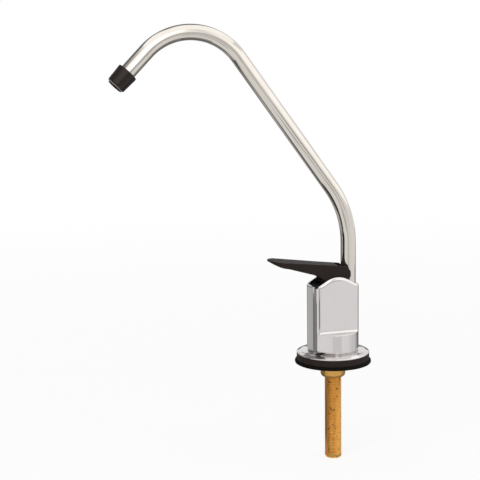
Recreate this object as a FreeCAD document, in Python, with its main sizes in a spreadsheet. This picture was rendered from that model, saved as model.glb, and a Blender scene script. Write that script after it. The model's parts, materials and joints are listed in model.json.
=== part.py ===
import FreeCAD, Part
import math
import os

import Sketcher

# Gooseneck drinking-water faucet with a rocking lever.
#
# The faucet stands on a counter. The origin is the centre of the rubber washer's underside, where it
# meets the counter. +Z is up, and the spout and the lever point to -Y. All lengths are millimetres.
#
# The lever is hinged on a cross pin through the eye of the valve stem. The hub under the lever is a cam
# that stands on a plastic saddle plate. Rocked down or lifted, the cam pushes the pin away from the
# plate, which lifts the stem against its spring and opens the valve. Water goes up the hollow shank,
# past the seat washer, across a port into the spout's socket, and up the spout.

doc = FreeCAD.newDocument("faucet")
sheet = doc.addObject("Spreadsheet::Sheet", "dim")

SIZES = [
    # The stack on the counter
    ("gasket_radius", 25.15, "rubber washer, outer radius"),
    ("gasket_thickness", 2.0, "rubber washer, thickness"),
    ("base_radius", 23.9, "outer radius of the spacer and the escutcheon"),
    ("spacer_thickness", 4.46, "black spacer, height"),
    ("escutcheon_rim", 1.3, "escutcheon, height of its rim"),
    ("escutcheon_thickness", 2.04, "escutcheon, height under the body"),
    ("escutcheon_bevel", 0.5, "escutcheon, bevel of its rim"),
    ("stack_hole_gap", 0.3, "radial gap round the shank in the stacked rings"),
    ("ring_bevel", 0.3, "rings of the stack, bevel of their outer edges"),
    ("thin_bevel", 0.15, "thin washers, bevel of their outer edges"),
    ("crown_width", 1.0, "escutcheon, flat width beyond the body's foot"),
    ("overcut", 1.0, "how far a cutting shape passes the face that it cuts"),
    ("seal_radius", 12.0, "body seal, outer radius"),
    ("seal_thickness", 1.0, "body seal, thickness"),
    # The threaded shank and its collar
    ("shank_radius", 5.556, "7/16 in thread, crest radius"),
    ("shank_bore_radius", 3.0, "water way through the shank"),
    ("shank_drop", 65.5, "shank length below the counter plane"),
    ("shank_engagement", 11.8, "shank length inside the body"),
    ("neck_radius", 5.3, "shank's plain neck inside the collar and the body"),
    ("shank_chamfer", 0.6, "chamfer of the shank's lower end"),
    ("shank_flat", 4.9, "distance of the front flat from the axis"),
    ("thread_pitch", 1.058, "24 threads to the inch"),
    ("thread_depth", 0.45, "depth of the thread grooves"),
    ("thread_crest", 0.3, "width of the thread's crest"),
    ("thread_runout", 1.2, "plain length at each end of the thread"),
    ("collar_radius", 8.8, "brass collar, outer radius"),
    ("collar_drop", 9.9, "brass collar, length below the counter plane"),
    ("collar_bevel", 3.2, "brass collar, height of its tapered end"),
    ("collar_nose_radius", 6.6, "brass collar, radius of its lower face"),
    ("gasket_gap", 0.2, "radial gap between the collar and the washer"),
    ("screw_fit", 0.05, "radial clearance of screwed and stacked pieces"),
    # The chrome body
    ("body_radius", 16.95, "body, outer radius"),
    ("body_foot_bevel", 0.4, "bevel at the body's foot"),
    ("cheek_half", 10.1, "distance of each side flat from the middle"),
    ("cheek_round", 1.5, "rounding between a flat and the round front"),
    ("ledge_height", 12.8, "ledge under the flats, above the body's foot"),
    ("ledge_cove", 2.0, "radius of the cove between flat and ledge"),
    ("shoulder_height", 43.9, "front wall's top, above the body's foot"),
    ("shoulder_half", 14.0, "where the sloped roof starts, from the middle"),
    ("crest_rise", 5.9, "crest of the cheeks above the shoulders"),
    ("roof_slope", 31.0, "slope of the roof, in degrees"),
    ("slot_half", 7.9, "half width of the slot between the cheeks"),
    ("slot_front", 15.2, "slot's front wall, from the middle"),
    ("slot_back", 10.3, "slot's back wall, from the middle"),
    ("slot_round", 4.0, "slot, radius of its two front corners"),
    ("slot_floor_height", 40.5, "slot's floor, above the body's foot"),
    # The valve
    ("seat_height", 15.5, "valve seat, above the body's foot"),
    ("seat_bore_radius", 2.5, "water way through the seat"),
    ("chamber_radius", 4.8, "valve chamber, radius"),
    ("port_radius", 1.9, "cross port, radius"),
    ("port_height", 22.1, "cross port's axis, above the body's foot"),
    ("washer_radius", 3.6, "seat washer, radius"),
    ("washer_thickness", 1.6, "seat washer, thickness"),
    ("screw_head_radius", 1.7, "washer screw, head radius"),
    ("screw_head_height", 1.1, "washer screw, head height"),
    ("screw_radius", 0.9, "washer screw, thread radius"),
    ("screw_length", 6.0, "washer screw, length under its head"),
    ("screw_hole_end", 1.0, "washer screw's hole, depth beyond the screw"),
    ("screw_slot", 0.5, "width of the screwdriver slots"),
    ("stem_radius", 2.0, "valve stem, radius"),
    ("stem_collar_radius", 4.4, "valve stem, radius of its spring collar"),
    ("stem_collar_height", 2.6, "valve stem, height of its spring collar"),
    ("eye_radius", 3.0, "valve stem, radius of its eye"),
    ("eye_half", 1.85, "valve stem, half thickness of its eye"),
    ("spring_radius", 3.4, "return spring, mean radius"),
    ("spring_wire_radius", 0.4, "return spring, wire radius"),
    ("spring_turns", 6.0, "return spring, number of turns"),
    ("spring_gap", 0.05, "gap at each end of the return spring"),
    ("gland_length", 9.0, "gland nut, length"),
    ("gland_groove_depth", 0.95, "gland nut, depth of its two seal grooves"),
    ("gland_groove_width", 1.2, "gland nut, width of its two seal grooves"),
    ("gland_ring_height", 6.6, "outer seal groove, above the gland's foot"),
    ("stem_ring_height", 3.4, "inner seal groove, above the gland's foot"),
    ("seal_squeeze", 0.03, "gap left round each round seal"),
    ("saddle_thickness", 3.15, "saddle plate, thickness"),
    ("saddle_gap", 0.15, "gap between the saddle plate and the slot"),
    ("saddle_back", 5.4, "saddle plate's back edge, from the middle"),
    ("saddle_hole_radius", 2.3, "saddle plate, hole for the stem"),
    # The lever
    ("pin_radius", 1.5, "cross pin, radius"),
    ("pin_half", 5.4, "cross pin, half length"),
    ("pin_end_gap", 0.1, "gap beyond each end of the cross pin"),
    ("pin_snap", 0.15, "how much narrower the pin's way in is than the pin, each side"),
    ("pin_fit", 0.03, "radial clearance of the cross pin"),
    ("cam_radius", 7.73, "cam, distance of its resting face from the pin"),
    ("cam_gap", 0.12, "gap between cam and saddle plate at rest"),
    ("press_rise", 5.4, "rise of the pressed cam, per radian"),
    ("press_angle", 12.0, "how far the lever is pressed, in degrees"),
    ("lift_rise", 1.73, "rise of the lifted cam, per radian"),
    ("lift_angle", 72.0, "how far the lever is lifted, in degrees"),
    ("hub_half", 7.6, "lever, half width of its hub"),
    ("hub_front", 8.0, "where the lever starts to widen, from the pin"),
    ("blade_half", 10.0, "lever, half width near its tip"),
    ("blade_end", 38.0, "where the lever's rounded tip starts, from the pin"),
    ("tip_reach", 44.4, "lever's tip, from the pin"),
    ("tip_rise", 10.9, "lever's tip, above the pin"),
    ("tip_set", 0.8, "lever's tip, width and height of its rounded nose"),
    ("tip_round", 0.9, "lever's tip, radius of its rounded nose"),
    ("lever_back", 7.2, "back end of the lever's top, from the pin"),
    ("lever_back_rise", 4.6, "back end of the lever's top, above the pin"),
    ("heel_reach", 9.7, "lever's heel, from the pin"),
    ("heel_rise", 1.4, "lever's heel, above the pin"),
    ("throat_reach", 13.1, "where hub and blade meet below, from the pin"),
    ("throat_drop", 0.4, "where hub and blade meet below, under the pin"),
    ("neck_reach", 7.7, "front of the hub, from the pin"),
    ("neck_drop", 4.3, "front of the hub, under the pin"),
    ("belly_reach", 33.0, "end of the blade's straight underside"),
    ("belly_rise", 5.7, "same point, above the pin"),
    ("belly_radius", 27.0, "radius of the blade's curved underside"),
    ("fork_gap", 0.4, "gap between the fork and the spout"),
    ("barrel_radius", 5.4, "lever, radius of its back between the forks"),
    ("cavity_gap", 0.2, "gap between the stem's eye and the hub's sides"),
    ("cavity_front", 3.9, "front wall of the stem's cavity, from the pin"),
    ("cavity_rise", 3.6, "ceiling of the stem's cavity, above the pin"),
    # The spout
    ("spout_offset", 10.9, "spout's swivel axis behind the body's axis"),
    ("tube_radius", 5.0, "spout tube, outer radius"),
    ("tube_wall", 0.8, "spout tube, wall"),
    ("swivel_fit", 0.05, "clearance of the spout in its socket"),
    ("socket_height", 24.5, "socket's floor, above the body's foot"),
    ("sump_depth", 4.5, "water pocket below the socket"),
    ("sump_radius", 4.0, "water pocket, radius"),
    ("bend_height", 71.0, "start of the lower bend, above the body's foot"),
    ("lower_bend_radius", 62.3, "lower bend, radius of the tube's axis"),
    ("lower_bend_angle", 36.0, "lower bend, in degrees"),
    ("slant_length", 103.5, "straight run between the bends"),
    ("crook_radius", 38.4, "upper bend, radius of the tube's axis"),
    ("crook_angle", 99.7, "upper bend, in degrees"),
    ("outlet_run", 24.5, "straight run to the tube's end"),
    ("ferrule_length", 13.0, "brass end fitting, length below the tube"),
    ("ferrule_spigot", 5.0, "brass end fitting, length inside the tube"),
    ("ferrule_bore_radius", 2.6, "brass end fitting, water way"),
    ("ring_groove_depth", 1.1, "spout seals, depth of their grooves"),
    ("ring_groove_width", 1.5, "spout seals, width of their grooves"),
    ("lower_ring_height", 2.2, "lower spout seal, above the fitting's foot"),
    ("upper_ring_height", 5.4, "upper spout seal, above the fitting's foot"),
    ("snap_ring_height", 10.0, "snap ring, above the fitting's foot"),
    ("snap_wire_radius", 0.4, "snap ring, wire radius"),
    ("snap_bite", 0.35, "how far the snap ring reaches into the body"),
    ("snap_opening", 50.0, "gap of the snap ring, in degrees"),
    # The nozzle
    ("nozzle_length", 11.4, "nozzle, length"),
    ("nozzle_grip", 8.0, "length of tube inside the nozzle"),
    ("nozzle_back_radius", 6.8, "nozzle, radius at the tube"),
    ("nozzle_front_radius", 6.0, "nozzle, radius at the mouth"),
    ("nozzle_bevel", 0.4, "nozzle, bevel of its two ends"),
    ("mouth_radius", 4.75, "nozzle, radius of its mouth"),
    ("nozzle_fit", 0.03, "clearance between nozzle and tube"),
    ("nozzle_groove_depth", 0.7, "nozzle, depth of its seal groove"),
    ("nozzle_groove_place", 4.0, "nozzle's seal groove, from the tube's end"),
    ("insert_flange", 1.2, "flow straightener, flange thickness"),
    ("insert_barrel", 2.5, "flow straightener, length inside the tube"),
    ("insert_gap", 0.1, "radial gap round the flow straightener"),
    ("insert_hole_radius", 0.75, "flow straightener, radius of its holes"),
    ("insert_hole_circle", 2.6, "flow straightener, circle of its holes"),
    ("insert_holes", 6, "flow straightener, holes round its middle hole"),
]

for row, (alias, amount, meaning) in enumerate(SIZES, start=1):
    sheet.set(f"A{row}", meaning)
    sheet.set(f"B{row}", str(amount))
    sheet.setAlias(f"B{row}", alias)
doc.recompute()

# Levels above the counter, each worked out from the pieces below it
ESCUTCHEON_BASE = "(dim.gasket_thickness + dim.spacer_thickness)"
BODY_BASE = f"({ESCUTCHEON_BASE} + dim.escutcheon_thickness)"
SHANK_TOP = f"({BODY_BASE} + dim.shank_engagement)"
LEDGE = f"({BODY_BASE} + dim.ledge_height)"
SHOULDER = f"({BODY_BASE} + dim.shoulder_height)"
CREST = f"({SHOULDER} + dim.crest_rise)"
SLOT_FLOOR = f"({BODY_BASE} + dim.slot_floor_height)"
SADDLE_TOP = f"({SLOT_FLOOR} + dim.saddle_thickness)"
PIN_LEVEL = f"({SADDLE_TOP} + dim.cam_gap + dim.cam_radius)"
SEAT = f"({BODY_BASE} + dim.seat_height)"
STEM_BASE = f"({SEAT} + dim.washer_thickness)"
COLLAR_TOP = f"({STEM_BASE} + dim.stem_collar_height)"
GLAND_BASE = f"({SLOT_FLOOR} - dim.gland_length)"
SOCKET_FLOOR = f"({BODY_BASE} + dim.socket_height)"
FERRULE_BASE = f"({SOCKET_FLOOR} + dim.swivel_fit)"
TUBE_BASE = f"({FERRULE_BASE} + dim.ferrule_length)"
BEND_START = f"({BODY_BASE} + dim.bend_height)"
SOCKET_RADIUS = "(dim.tube_radius + dim.swivel_fit)"
TUBE_BORE = "(dim.tube_radius - dim.tube_wall)"
SHANK_HOLE = "(dim.neck_radius + dim.screw_fit)"
SNAP_GROOVE_HALF = "(dim.snap_wire_radius + dim.swivel_fit)"
SNAP_SEAT = f"({SOCKET_RADIUS} + dim.snap_bite - 2 * dim.snap_wire_radius - dim.swivel_fit)"
COLLAR_SEAT = "dim.gasket_thickness"
CLEAR_OF_ALL = "(2 * dim.base_radius)"

PIECES = []


def number(expression):
    """The present value of an expression that names cells of the sheet."""
    result = sheet.evalExpression(expression)
    return float(getattr(result, "Value", result))


def minus(expression):
    return f"-({expression})"


def checked(step, before=None, grows=False):
    """Build a step, and see that it is whole and that it changed the volume the right way."""
    doc.recompute()
    failed = [flag for flag in step.State if flag in ("Invalid", "Error")]
    if failed or step.Shape.isNull() or not step.Shape.isValid():
        raise RuntimeError(f"{step.Label} did not build: {step.State}")
    if before is not None:
        change = step.Shape.Volume - before
        if (change > 0) != grows or abs(change) < 1e-6:
            raise RuntimeError(f"{step.Label} changed the volume by {change:.4f}")
    return step


def new_body(label):
    """An empty body whose name is the piece's name."""
    body = doc.addObject("PartDesign::Body", label)
    PIECES.append(body)
    return body


def origin_plane(body, role):
    return next(f for f in body.Origin.OriginFeatures if f.Role == role)


def add_loop(sketch, corners):
    """Draw one closed loop with every corner tied to the sheet.

    A corner is (across, up) where a straight side follows it, or (across, up, radius, turn) where an
    arc follows it. The turn is 1 for an arc that goes anticlockwise and -1 for one that goes clockwise.
    """
    points = [FreeCAD.Vector(number(c[0]), number(c[1]), 0) for c in corners]
    sides = []
    for i, corner in enumerate(corners):
        start = points[i]
        end = points[(i + 1) % len(points)]
        if len(corner) == 2:
            geo = sketch.addGeometry(Part.LineSegment(start, end))
            sides.append((geo, 1, 2))
            continue
        radius = number(corner[2])
        turn = corner[3]
        chord = end - start
        rise = math.sqrt(max(radius**2 - (chord.Length / 2) ** 2, 0))
        across = FreeCAD.Vector(-chord.y, chord.x, 0).normalize() * rise * turn
        centre = (start + end) / 2 + across
        first, last = (start, end) if turn > 0 else (end, start)
        from_angle = math.atan2(first.y - centre.y, first.x - centre.x)
        to_angle = math.atan2(last.y - centre.y, last.x - centre.x)
        circle = Part.Circle(centre, FreeCAD.Vector(0, 0, 1), radius)
        geo = sketch.addGeometry(Part.ArcOfCircle(circle, from_angle, to_angle))
        sides.append((geo, 1, 2) if turn > 0 else (geo, 2, 1))
        held = sketch.addConstraint(Sketcher.Constraint("Radius", geo, radius))
        sketch.setExpression(f"Constraints[{held}]", corner[2])
    for i, (geo, start_end, far_end) in enumerate(sides):
        next_geo, next_start, _ = sides[(i + 1) % len(sides)]
        sketch.addConstraint(Sketcher.Constraint("Coincident", geo, far_end, next_geo, next_start))
        for kind, value, expression in (
            ("DistanceX", points[i].x, corners[i][0]),
            ("DistanceY", points[i].y, corners[i][1]),
        ):
            held = sketch.addConstraint(Sketcher.Constraint(kind, -1, 1, geo, start_end, value))
            sketch.setExpression(f"Constraints[{held}]", expression)


def draw(body, name, role, *loops):
    """A sketch of closed loops on one of the body's own origin planes."""
    sketch = body.newObject("Sketcher::SketchObject", f"{body.Label}_{name}")
    sketch.AttachmentSupport = [(origin_plane(body, role), "")]
    sketch.MapMode = "FlatFace"
    for corners in loops:
        add_loop(sketch, corners)
    return sketch


def draw_circle(body, name, role, across, up, radius):
    """A sketch of one circle, its centre and radius tied to the sheet."""
    sketch = body.newObject("Sketcher::SketchObject", f"{body.Label}_{name}")
    sketch.AttachmentSupport = [(origin_plane(body, role), "")]
    sketch.MapMode = "FlatFace"
    centre = FreeCAD.Vector(number(across), number(up), 0)
    circle = Part.Circle(centre, FreeCAD.Vector(0, 0, 1), number(radius))
    geo = sketch.addGeometry(circle)
    for constraint, expression in (
        (Sketcher.Constraint("DistanceX", -1, 1, geo, 3, centre.x), across),
        (Sketcher.Constraint("DistanceY", -1, 1, geo, 3, centre.y), up),
        (Sketcher.Constraint("Radius", geo, number(radius)), radius),
    ):
        held = sketch.addConstraint(constraint)
        sketch.setExpression(f"Constraints[{held}]", expression)
    return sketch


def volume(body):
    return body.Shape.Volume if body.Tip else 0.0


def turn(body, name, corners, cut=False):
    """Add or cut a turned shape about the body's Z axis, from (radius, height) corners."""
    before = volume(body)
    sketch = draw(body, name + "_outline", "XZ_Plane", corners)
    kind = "PartDesign::Groove" if cut else "PartDesign::Revolution"
    step = body.newObject(kind, f"{body.Label}_{name}")
    step.Profile = sketch
    step.ReferenceAxis = (sketch, ["V_Axis"])
    step.Angle = 360
    return checked(step, before, grows=not cut)


def extrude(body, sketch, width, cut=False):
    """Pad or cut a sketch by a width that is shared equally by its two sides."""
    before = volume(body)
    kind = "PartDesign::Pocket" if cut else "PartDesign::Pad"
    step = body.newObject(kind, sketch.Label + ("_cut" if cut else "_pad"))
    step.Profile = sketch
    step.SideType = "Symmetric"
    step.setExpression("Length", width)
    return checked(step, before, grows=not cut)


def raise_plan(body, sketch, base, top, cut=False):
    """Pad or cut a sketch of the ground plane from one level up to another."""
    before = volume(body)
    sketch.setExpression(".AttachmentOffset.Base.z", base)
    kind = "PartDesign::Pocket" if cut else "PartDesign::Pad"
    step = body.newObject(kind, sketch.Label + ("_cut" if cut else "_pad"))
    step.Profile = sketch
    step.Reversed = cut
    step.setExpression("Length", f"({top}) - ({base})")
    return checked(step, before, grows=not cut)


def rounded_front(half, front, back, radius):
    """A plan outline whose two front corners are rounded, anticlockwise from its back left."""
    return [
        (minus(half), back),
        (minus(half), f"-({front} - {radius})", radius, 1),
        (f"-({half} - {radius})", minus(front)),
        (f"({half} - {radius})", minus(front), radius, 1),
        (half, f"-({front} - {radius})"),
        (half, back),
    ]


def move_to_spout(body):
    """Put a piece that is drawn about the Z axis on the spout's swivel axis."""
    body.setExpression(".Placement.Base.y", "dim.spout_offset")


def ring_seal(label, level, mean_radius, wire_radius):
    """A round seal: a torus whose size and height follow the groove that holds it."""
    ring = doc.addObject("Part::Torus", label)
    ring.setExpression("Radius1", mean_radius)
    ring.setExpression("Radius2", wire_radius)
    ring.setExpression(".Placement.Base.z", level)
    PIECES.append(ring)
    return ring


def flat_ring(label, inner, outer, base, top, bevel="dim.ring_bevel"):
    """A flat turned ring with bevelled outer edges."""
    body = new_body(label)
    corners = [
        (inner, base),
        (f"{outer} - {bevel}", base),
        (outer, f"{base} + {bevel}"),
        (outer, f"{top} - {bevel}"),
        (f"{outer} - {bevel}", top),
        (inner, top),
    ]
    turn(body, "ring", corners)
    return body


def build_base():
    """The rings between the body and the counter."""
    hole = "dim.shank_radius + dim.stack_hole_gap"
    gasket_hole = "dim.collar_radius + dim.gasket_gap"
    flat_ring("counter_gasket", gasket_hole, "dim.gasket_radius", "0", "dim.gasket_thickness")
    flat_ring("base_spacer", hole, "dim.base_radius", "dim.gasket_thickness", ESCUTCHEON_BASE)
    seal_top = f"({BODY_BASE} + dim.seal_thickness)"
    flat_ring("body_seal", hole, "dim.seal_radius", BODY_BASE, seal_top, "dim.thin_bevel")

    escutcheon = new_body("escutcheon")
    rim_top = f"({ESCUTCHEON_BASE} + dim.escutcheon_rim)"
    corners = [
        (hole, ESCUTCHEON_BASE),
        ("dim.base_radius - dim.ring_bevel", ESCUTCHEON_BASE),
        ("dim.base_radius", f"{ESCUTCHEON_BASE} + dim.ring_bevel"),
        ("dim.base_radius", f"{rim_top} - dim.escutcheon_bevel"),
        ("dim.base_radius - dim.escutcheon_bevel", rim_top),
        ("dim.body_radius + dim.crown_width", BODY_BASE),
        (hole, BODY_BASE),
    ]
    turn(escutcheon, "disc", corners)


def build_shank():
    """The hollow threaded stud, with its front flat, and the brass collar that clamps the rings."""
    shank = new_body("threaded_shank")
    foot = "-dim.shank_drop"
    corners = [
        ("dim.shank_bore_radius", foot),
        ("dim.shank_radius - dim.shank_chamfer", foot),
        ("dim.shank_radius", f"{foot} + dim.shank_chamfer"),
        ("dim.shank_radius", minus("dim.collar_drop")),
        ("dim.neck_radius", minus("dim.collar_drop")),
        ("dim.neck_radius", SHANK_TOP),
        ("dim.shank_bore_radius", SHANK_TOP),
    ]
    turn(shank, "stud", corners)
    first_groove = f"({foot} + dim.thread_runout)"
    groove = [
        ("dim.shank_radius + dim.overcut", first_groove),
        (
            "dim.shank_radius + dim.overcut",
            f"{first_groove} + dim.thread_pitch - dim.thread_crest",
        ),
        ("dim.shank_radius", f"{first_groove} + dim.thread_pitch - dim.thread_crest"),
        (
            "dim.shank_radius - dim.thread_depth",
            f"{first_groove} + (dim.thread_pitch - dim.thread_crest) / 2",
        ),
        ("dim.shank_radius", first_groove),
    ]
    ring = turn(shank, "thread_groove", groove, cut=True)
    length = "(dim.shank_drop - dim.collar_drop - 2 * dim.thread_runout)"
    pattern = shank.newObject("PartDesign::LinearPattern", "threaded_shank_grooves")
    pattern.Originals = [ring]
    pattern.Direction = (origin_plane(shank, "Z_Axis"), [""])
    pattern.setExpression("Occurrences", f"floor({length} / dim.thread_pitch)")
    pattern.setExpression("Length", f"(floor({length} / dim.thread_pitch) - 1) * dim.thread_pitch")
    shank.Tip = pattern
    checked(pattern)
    flat = [
        ("-dim.shank_radius - dim.overcut", f"{foot} - dim.overcut"),
        (minus("dim.shank_flat"), f"{foot} - dim.overcut"),
        (minus("dim.shank_flat"), minus("dim.collar_drop")),
        ("-dim.shank_radius - dim.overcut", minus("dim.collar_drop")),
    ]
    extrude(shank, draw(shank, "flat", "YZ_Plane", flat), CLEAR_OF_ALL, cut=True)

    collar = new_body("shank_collar")
    corners = [
        (SHANK_HOLE, minus("dim.collar_drop")),
        ("dim.collar_nose_radius", minus("dim.collar_drop")),
        ("dim.collar_radius", "-dim.collar_drop + dim.collar_bevel"),
        ("dim.collar_radius", COLLAR_SEAT),
        (SHANK_HOLE, COLLAR_SEAT),
    ]
    turn(collar, "ring", corners)


def roof_corners():
    """The space above the cheeks' roof: two slopes of equal angle and a round crest."""
    slope = "dim.roof_slope"
    crest_radius = (
        f"((dim.shoulder_half * tan({slope}) - dim.crest_rise)"
        f" / (sin({slope}) * tan({slope}) - 1 + cos({slope})))"
    )
    tangent = f"({crest_radius} * sin({slope}))"
    tangent_level = f"({CREST} - {crest_radius} * (1 - cos({slope})))"
    wide = "(dim.body_radius + dim.overcut)"
    above = f"({CREST} + dim.overcut)"
    return [
        (minus(wide), SHOULDER),
        (minus("dim.shoulder_half"), SHOULDER),
        (minus(tangent), tangent_level, crest_radius, -1),
        (tangent, tangent_level),
        ("dim.shoulder_half", SHOULDER),
        (wide, SHOULDER),
        (wide, above),
        (minus(wide), above),
    ]


def cheek_cut(side):
    """The space beside one cheek: the flat, a cove at its foot, and the ledge."""
    wide = "dim.body_radius + dim.overcut"
    cove = "(dim.cheek_half + dim.ledge_cove)"
    above = f"{CREST} + dim.overcut"
    sign = "" if side > 0 else "-1 * "
    return [
        (f"{sign}dim.cheek_half", above),
        (f"{sign}dim.cheek_half", f"{LEDGE} + dim.ledge_cove", "dim.ledge_cove", side),
        (f"{sign}{cove}", LEDGE),
        (f"{sign}({wide})", LEDGE),
        (f"{sign}({wide})", above),
    ]


def build_body():
    """The chrome body: round, with two side flats, a slot for the lever and the water ways."""
    body = new_body("faucet_body")
    corners = [
        ("0", BODY_BASE),
        ("dim.body_radius - dim.body_foot_bevel", BODY_BASE),
        ("dim.body_radius", f"{BODY_BASE} + dim.body_foot_bevel"),
        ("dim.body_radius", CREST),
        ("0", CREST),
    ]
    turn(body, "bar", corners)
    for name, side in (("right_flat", 1), ("left_flat", -1)):
        sketch = draw(body, name, "XZ_Plane", cheek_cut(side))
        extrude(body, sketch, CLEAR_OF_ALL, cut=True)
    extrude(body, draw(body, "roof", "YZ_Plane", roof_corners()), CLEAR_OF_ALL, cut=True)
    round_cheek_edges(body)
    slot = rounded_front("dim.slot_half", "dim.slot_front", "dim.slot_back", "dim.slot_round")
    above = f"{CREST} + dim.overcut"
    raise_plan(body, draw(body, "slot", "XY_Plane", slot), SLOT_FLOOR, above, cut=True)
    seal_hole = "(dim.seal_radius + dim.screw_fit)"
    seal_top = f"({BODY_BASE} + dim.seal_thickness)"
    shank_hole_top = f"({SHANK_TOP} + dim.screw_fit)"
    ways = [
        ("0", f"{BODY_BASE} - dim.overcut"),
        (seal_hole, f"{BODY_BASE} - dim.overcut"),
        (seal_hole, seal_top),
        (SHANK_HOLE, seal_top),
        (SHANK_HOLE, shank_hole_top),
        ("dim.seat_bore_radius", shank_hole_top),
        ("dim.seat_bore_radius", SEAT),
        ("dim.chamber_radius", SEAT),
        ("dim.chamber_radius", f"{SLOT_FLOOR} + dim.overcut"),
        ("0", f"{SLOT_FLOOR} + dim.overcut"),
    ]
    turn(body, "valve_ways", ways, cut=True)
    cut_socket(body)
    return body


def round_cheek_edges(body):
    """Round the four upright edges where the side flats meet the round front and back."""
    middle = number(f"({LEDGE} + dim.ledge_cove + {SHOULDER}) / 2")
    names = []
    for i, edge in enumerate(body.Shape.Edges, start=1):
        box = edge.BoundBox
        upright = box.XLength < 0.01 and box.YLength < 0.01
        if upright and box.ZMin < middle < box.ZMax:
            names.append(f"Edge{i}")
    before = volume(body)
    last = body.Tip
    fillet = body.newObject("PartDesign::Fillet", "faucet_body_upright_edges")
    fillet.Base = (last, names)
    fillet.setExpression("Radius", "dim.cheek_round")
    checked(fillet, before, grows=False)


def cut_socket(body):
    """The spout's socket behind the valve, the water pocket under it and the port between them."""
    groove_level = f"({FERRULE_BASE} + dim.snap_ring_height)"
    groove_radius = f"({SOCKET_RADIUS} + dim.snap_bite + dim.swivel_fit)"
    bores = [
        (
            "sump",
            "dim.sump_radius",
            f"{SOCKET_FLOOR} - dim.sump_depth",
            f"{SOCKET_FLOOR} + dim.overcut",
        ),
        ("socket", SOCKET_RADIUS, SOCKET_FLOOR, f"{CREST} + dim.overcut"),
        (
            "snap_groove",
            groove_radius,
            f"{groove_level} - {SNAP_GROOVE_HALF}",
            f"{groove_level} + {SNAP_GROOVE_HALF}",
        ),
    ]
    for name, radius, base, top in bores:
        sketch = draw_circle(body, name, "XY_Plane", "0", "dim.spout_offset", radius)
        raise_plan(body, sketch, base, top, cut=True)
    before = volume(body)
    port_level = f"({BODY_BASE} + dim.port_height)"
    port = draw_circle(body, "port", "XZ_Plane", "0", port_level, "dim.port_radius")
    step = body.newObject("PartDesign::Pocket", "faucet_body_port_bore")
    step.Profile = port
    step.setExpression("Length", "dim.spout_offset")
    checked(step, before, grows=False)


def build_valve():
    """The stem with its washer, spring, gland and seals."""
    stem = new_body("valve_stem")
    screw_hole = "(dim.screw_radius + dim.screw_fit)"
    hole_top = f"({SEAT} + dim.screw_length + dim.screw_hole_end)"
    corners = [
        (screw_hole, STEM_BASE),
        ("dim.stem_collar_radius", STEM_BASE),
        ("dim.stem_collar_radius", COLLAR_TOP),
        ("dim.stem_radius", COLLAR_TOP),
        ("dim.stem_radius", f"{PIN_LEVEL} - dim.pin_radius"),
        ("0", f"{PIN_LEVEL} - dim.pin_radius"),
        ("0", hole_top),
        (screw_hole, hole_top),
    ]
    turn(stem, "rod", corners)
    eye = draw_circle(stem, "eye", "YZ_Plane", "0", PIN_LEVEL, "dim.eye_radius")
    extrude(stem, eye, "2 * dim.eye_half")
    hole = draw_circle(stem, "pin_hole", "YZ_Plane", "0", PIN_LEVEL, "dim.pin_radius + dim.pin_fit")
    extrude(stem, hole, CLEAR_OF_ALL, cut=True)

    flat_ring("seat_washer", screw_hole, "dim.washer_radius", SEAT, STEM_BASE, "dim.thin_bevel")

    screw = new_body("seat_washer_screw")
    head_base = f"({SEAT} - dim.screw_head_height)"
    corners = [
        ("0", head_base),
        ("dim.screw_head_radius", head_base),
        ("dim.screw_head_radius", SEAT),
        ("dim.screw_radius", SEAT),
        ("dim.screw_radius", f"{SEAT} + dim.screw_length"),
        ("0", f"{SEAT} + dim.screw_length"),
    ]
    turn(screw, "screw", corners)
    slot = [
        ("-dim.screw_slot / 2", f"{head_base} - dim.overcut"),
        ("dim.screw_slot / 2", f"{head_base} - dim.overcut"),
        ("dim.screw_slot / 2", f"{head_base} + dim.screw_head_height / 2"),
        ("-dim.screw_slot / 2", f"{head_base} + dim.screw_head_height / 2"),
    ]
    extrude(screw, draw(screw, "slot", "XZ_Plane", slot), CLEAR_OF_ALL, cut=True)
    build_spring()
    build_gland()


def build_spring():
    """The return spring: one helix of round wire between the stem's collar and the gland nut."""
    helix = doc.addObject("Part::Helix", "return_spring_axis")
    foot = f"({COLLAR_TOP} + dim.spring_gap + dim.spring_wire_radius)"
    helix_height = f"({GLAND_BASE} - dim.spring_gap - dim.spring_wire_radius - {foot})"
    helix.setExpression("Height", helix_height)
    helix.setExpression("Pitch", f"{helix_height} / dim.spring_turns")
    helix.setExpression("Radius", "dim.spring_radius")
    wire = doc.addObject("Part::Circle", "return_spring_wire")
    wire.Placement.Rotation = FreeCAD.Rotation(FreeCAD.Vector(1, 0, 0), 90)
    wire.setExpression("Radius", "dim.spring_wire_radius")
    wire.setExpression(".Placement.Base.x", "dim.spring_radius")
    spring = doc.addObject("Part::Sweep", "return_spring")
    spring.Sections = [wire]
    spring.Spine = (helix, [])
    spring.Solid = True
    spring.Frenet = True
    spring.setExpression(".Placement.Base.z", foot)
    PIECES.append(spring)
    checked(spring)
    turn_gap = number(f"{helix_height} / dim.spring_turns - 2 * dim.spring_wire_radius")
    print(f"return spring: {turn_gap:.2f} mm between its turns")


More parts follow.
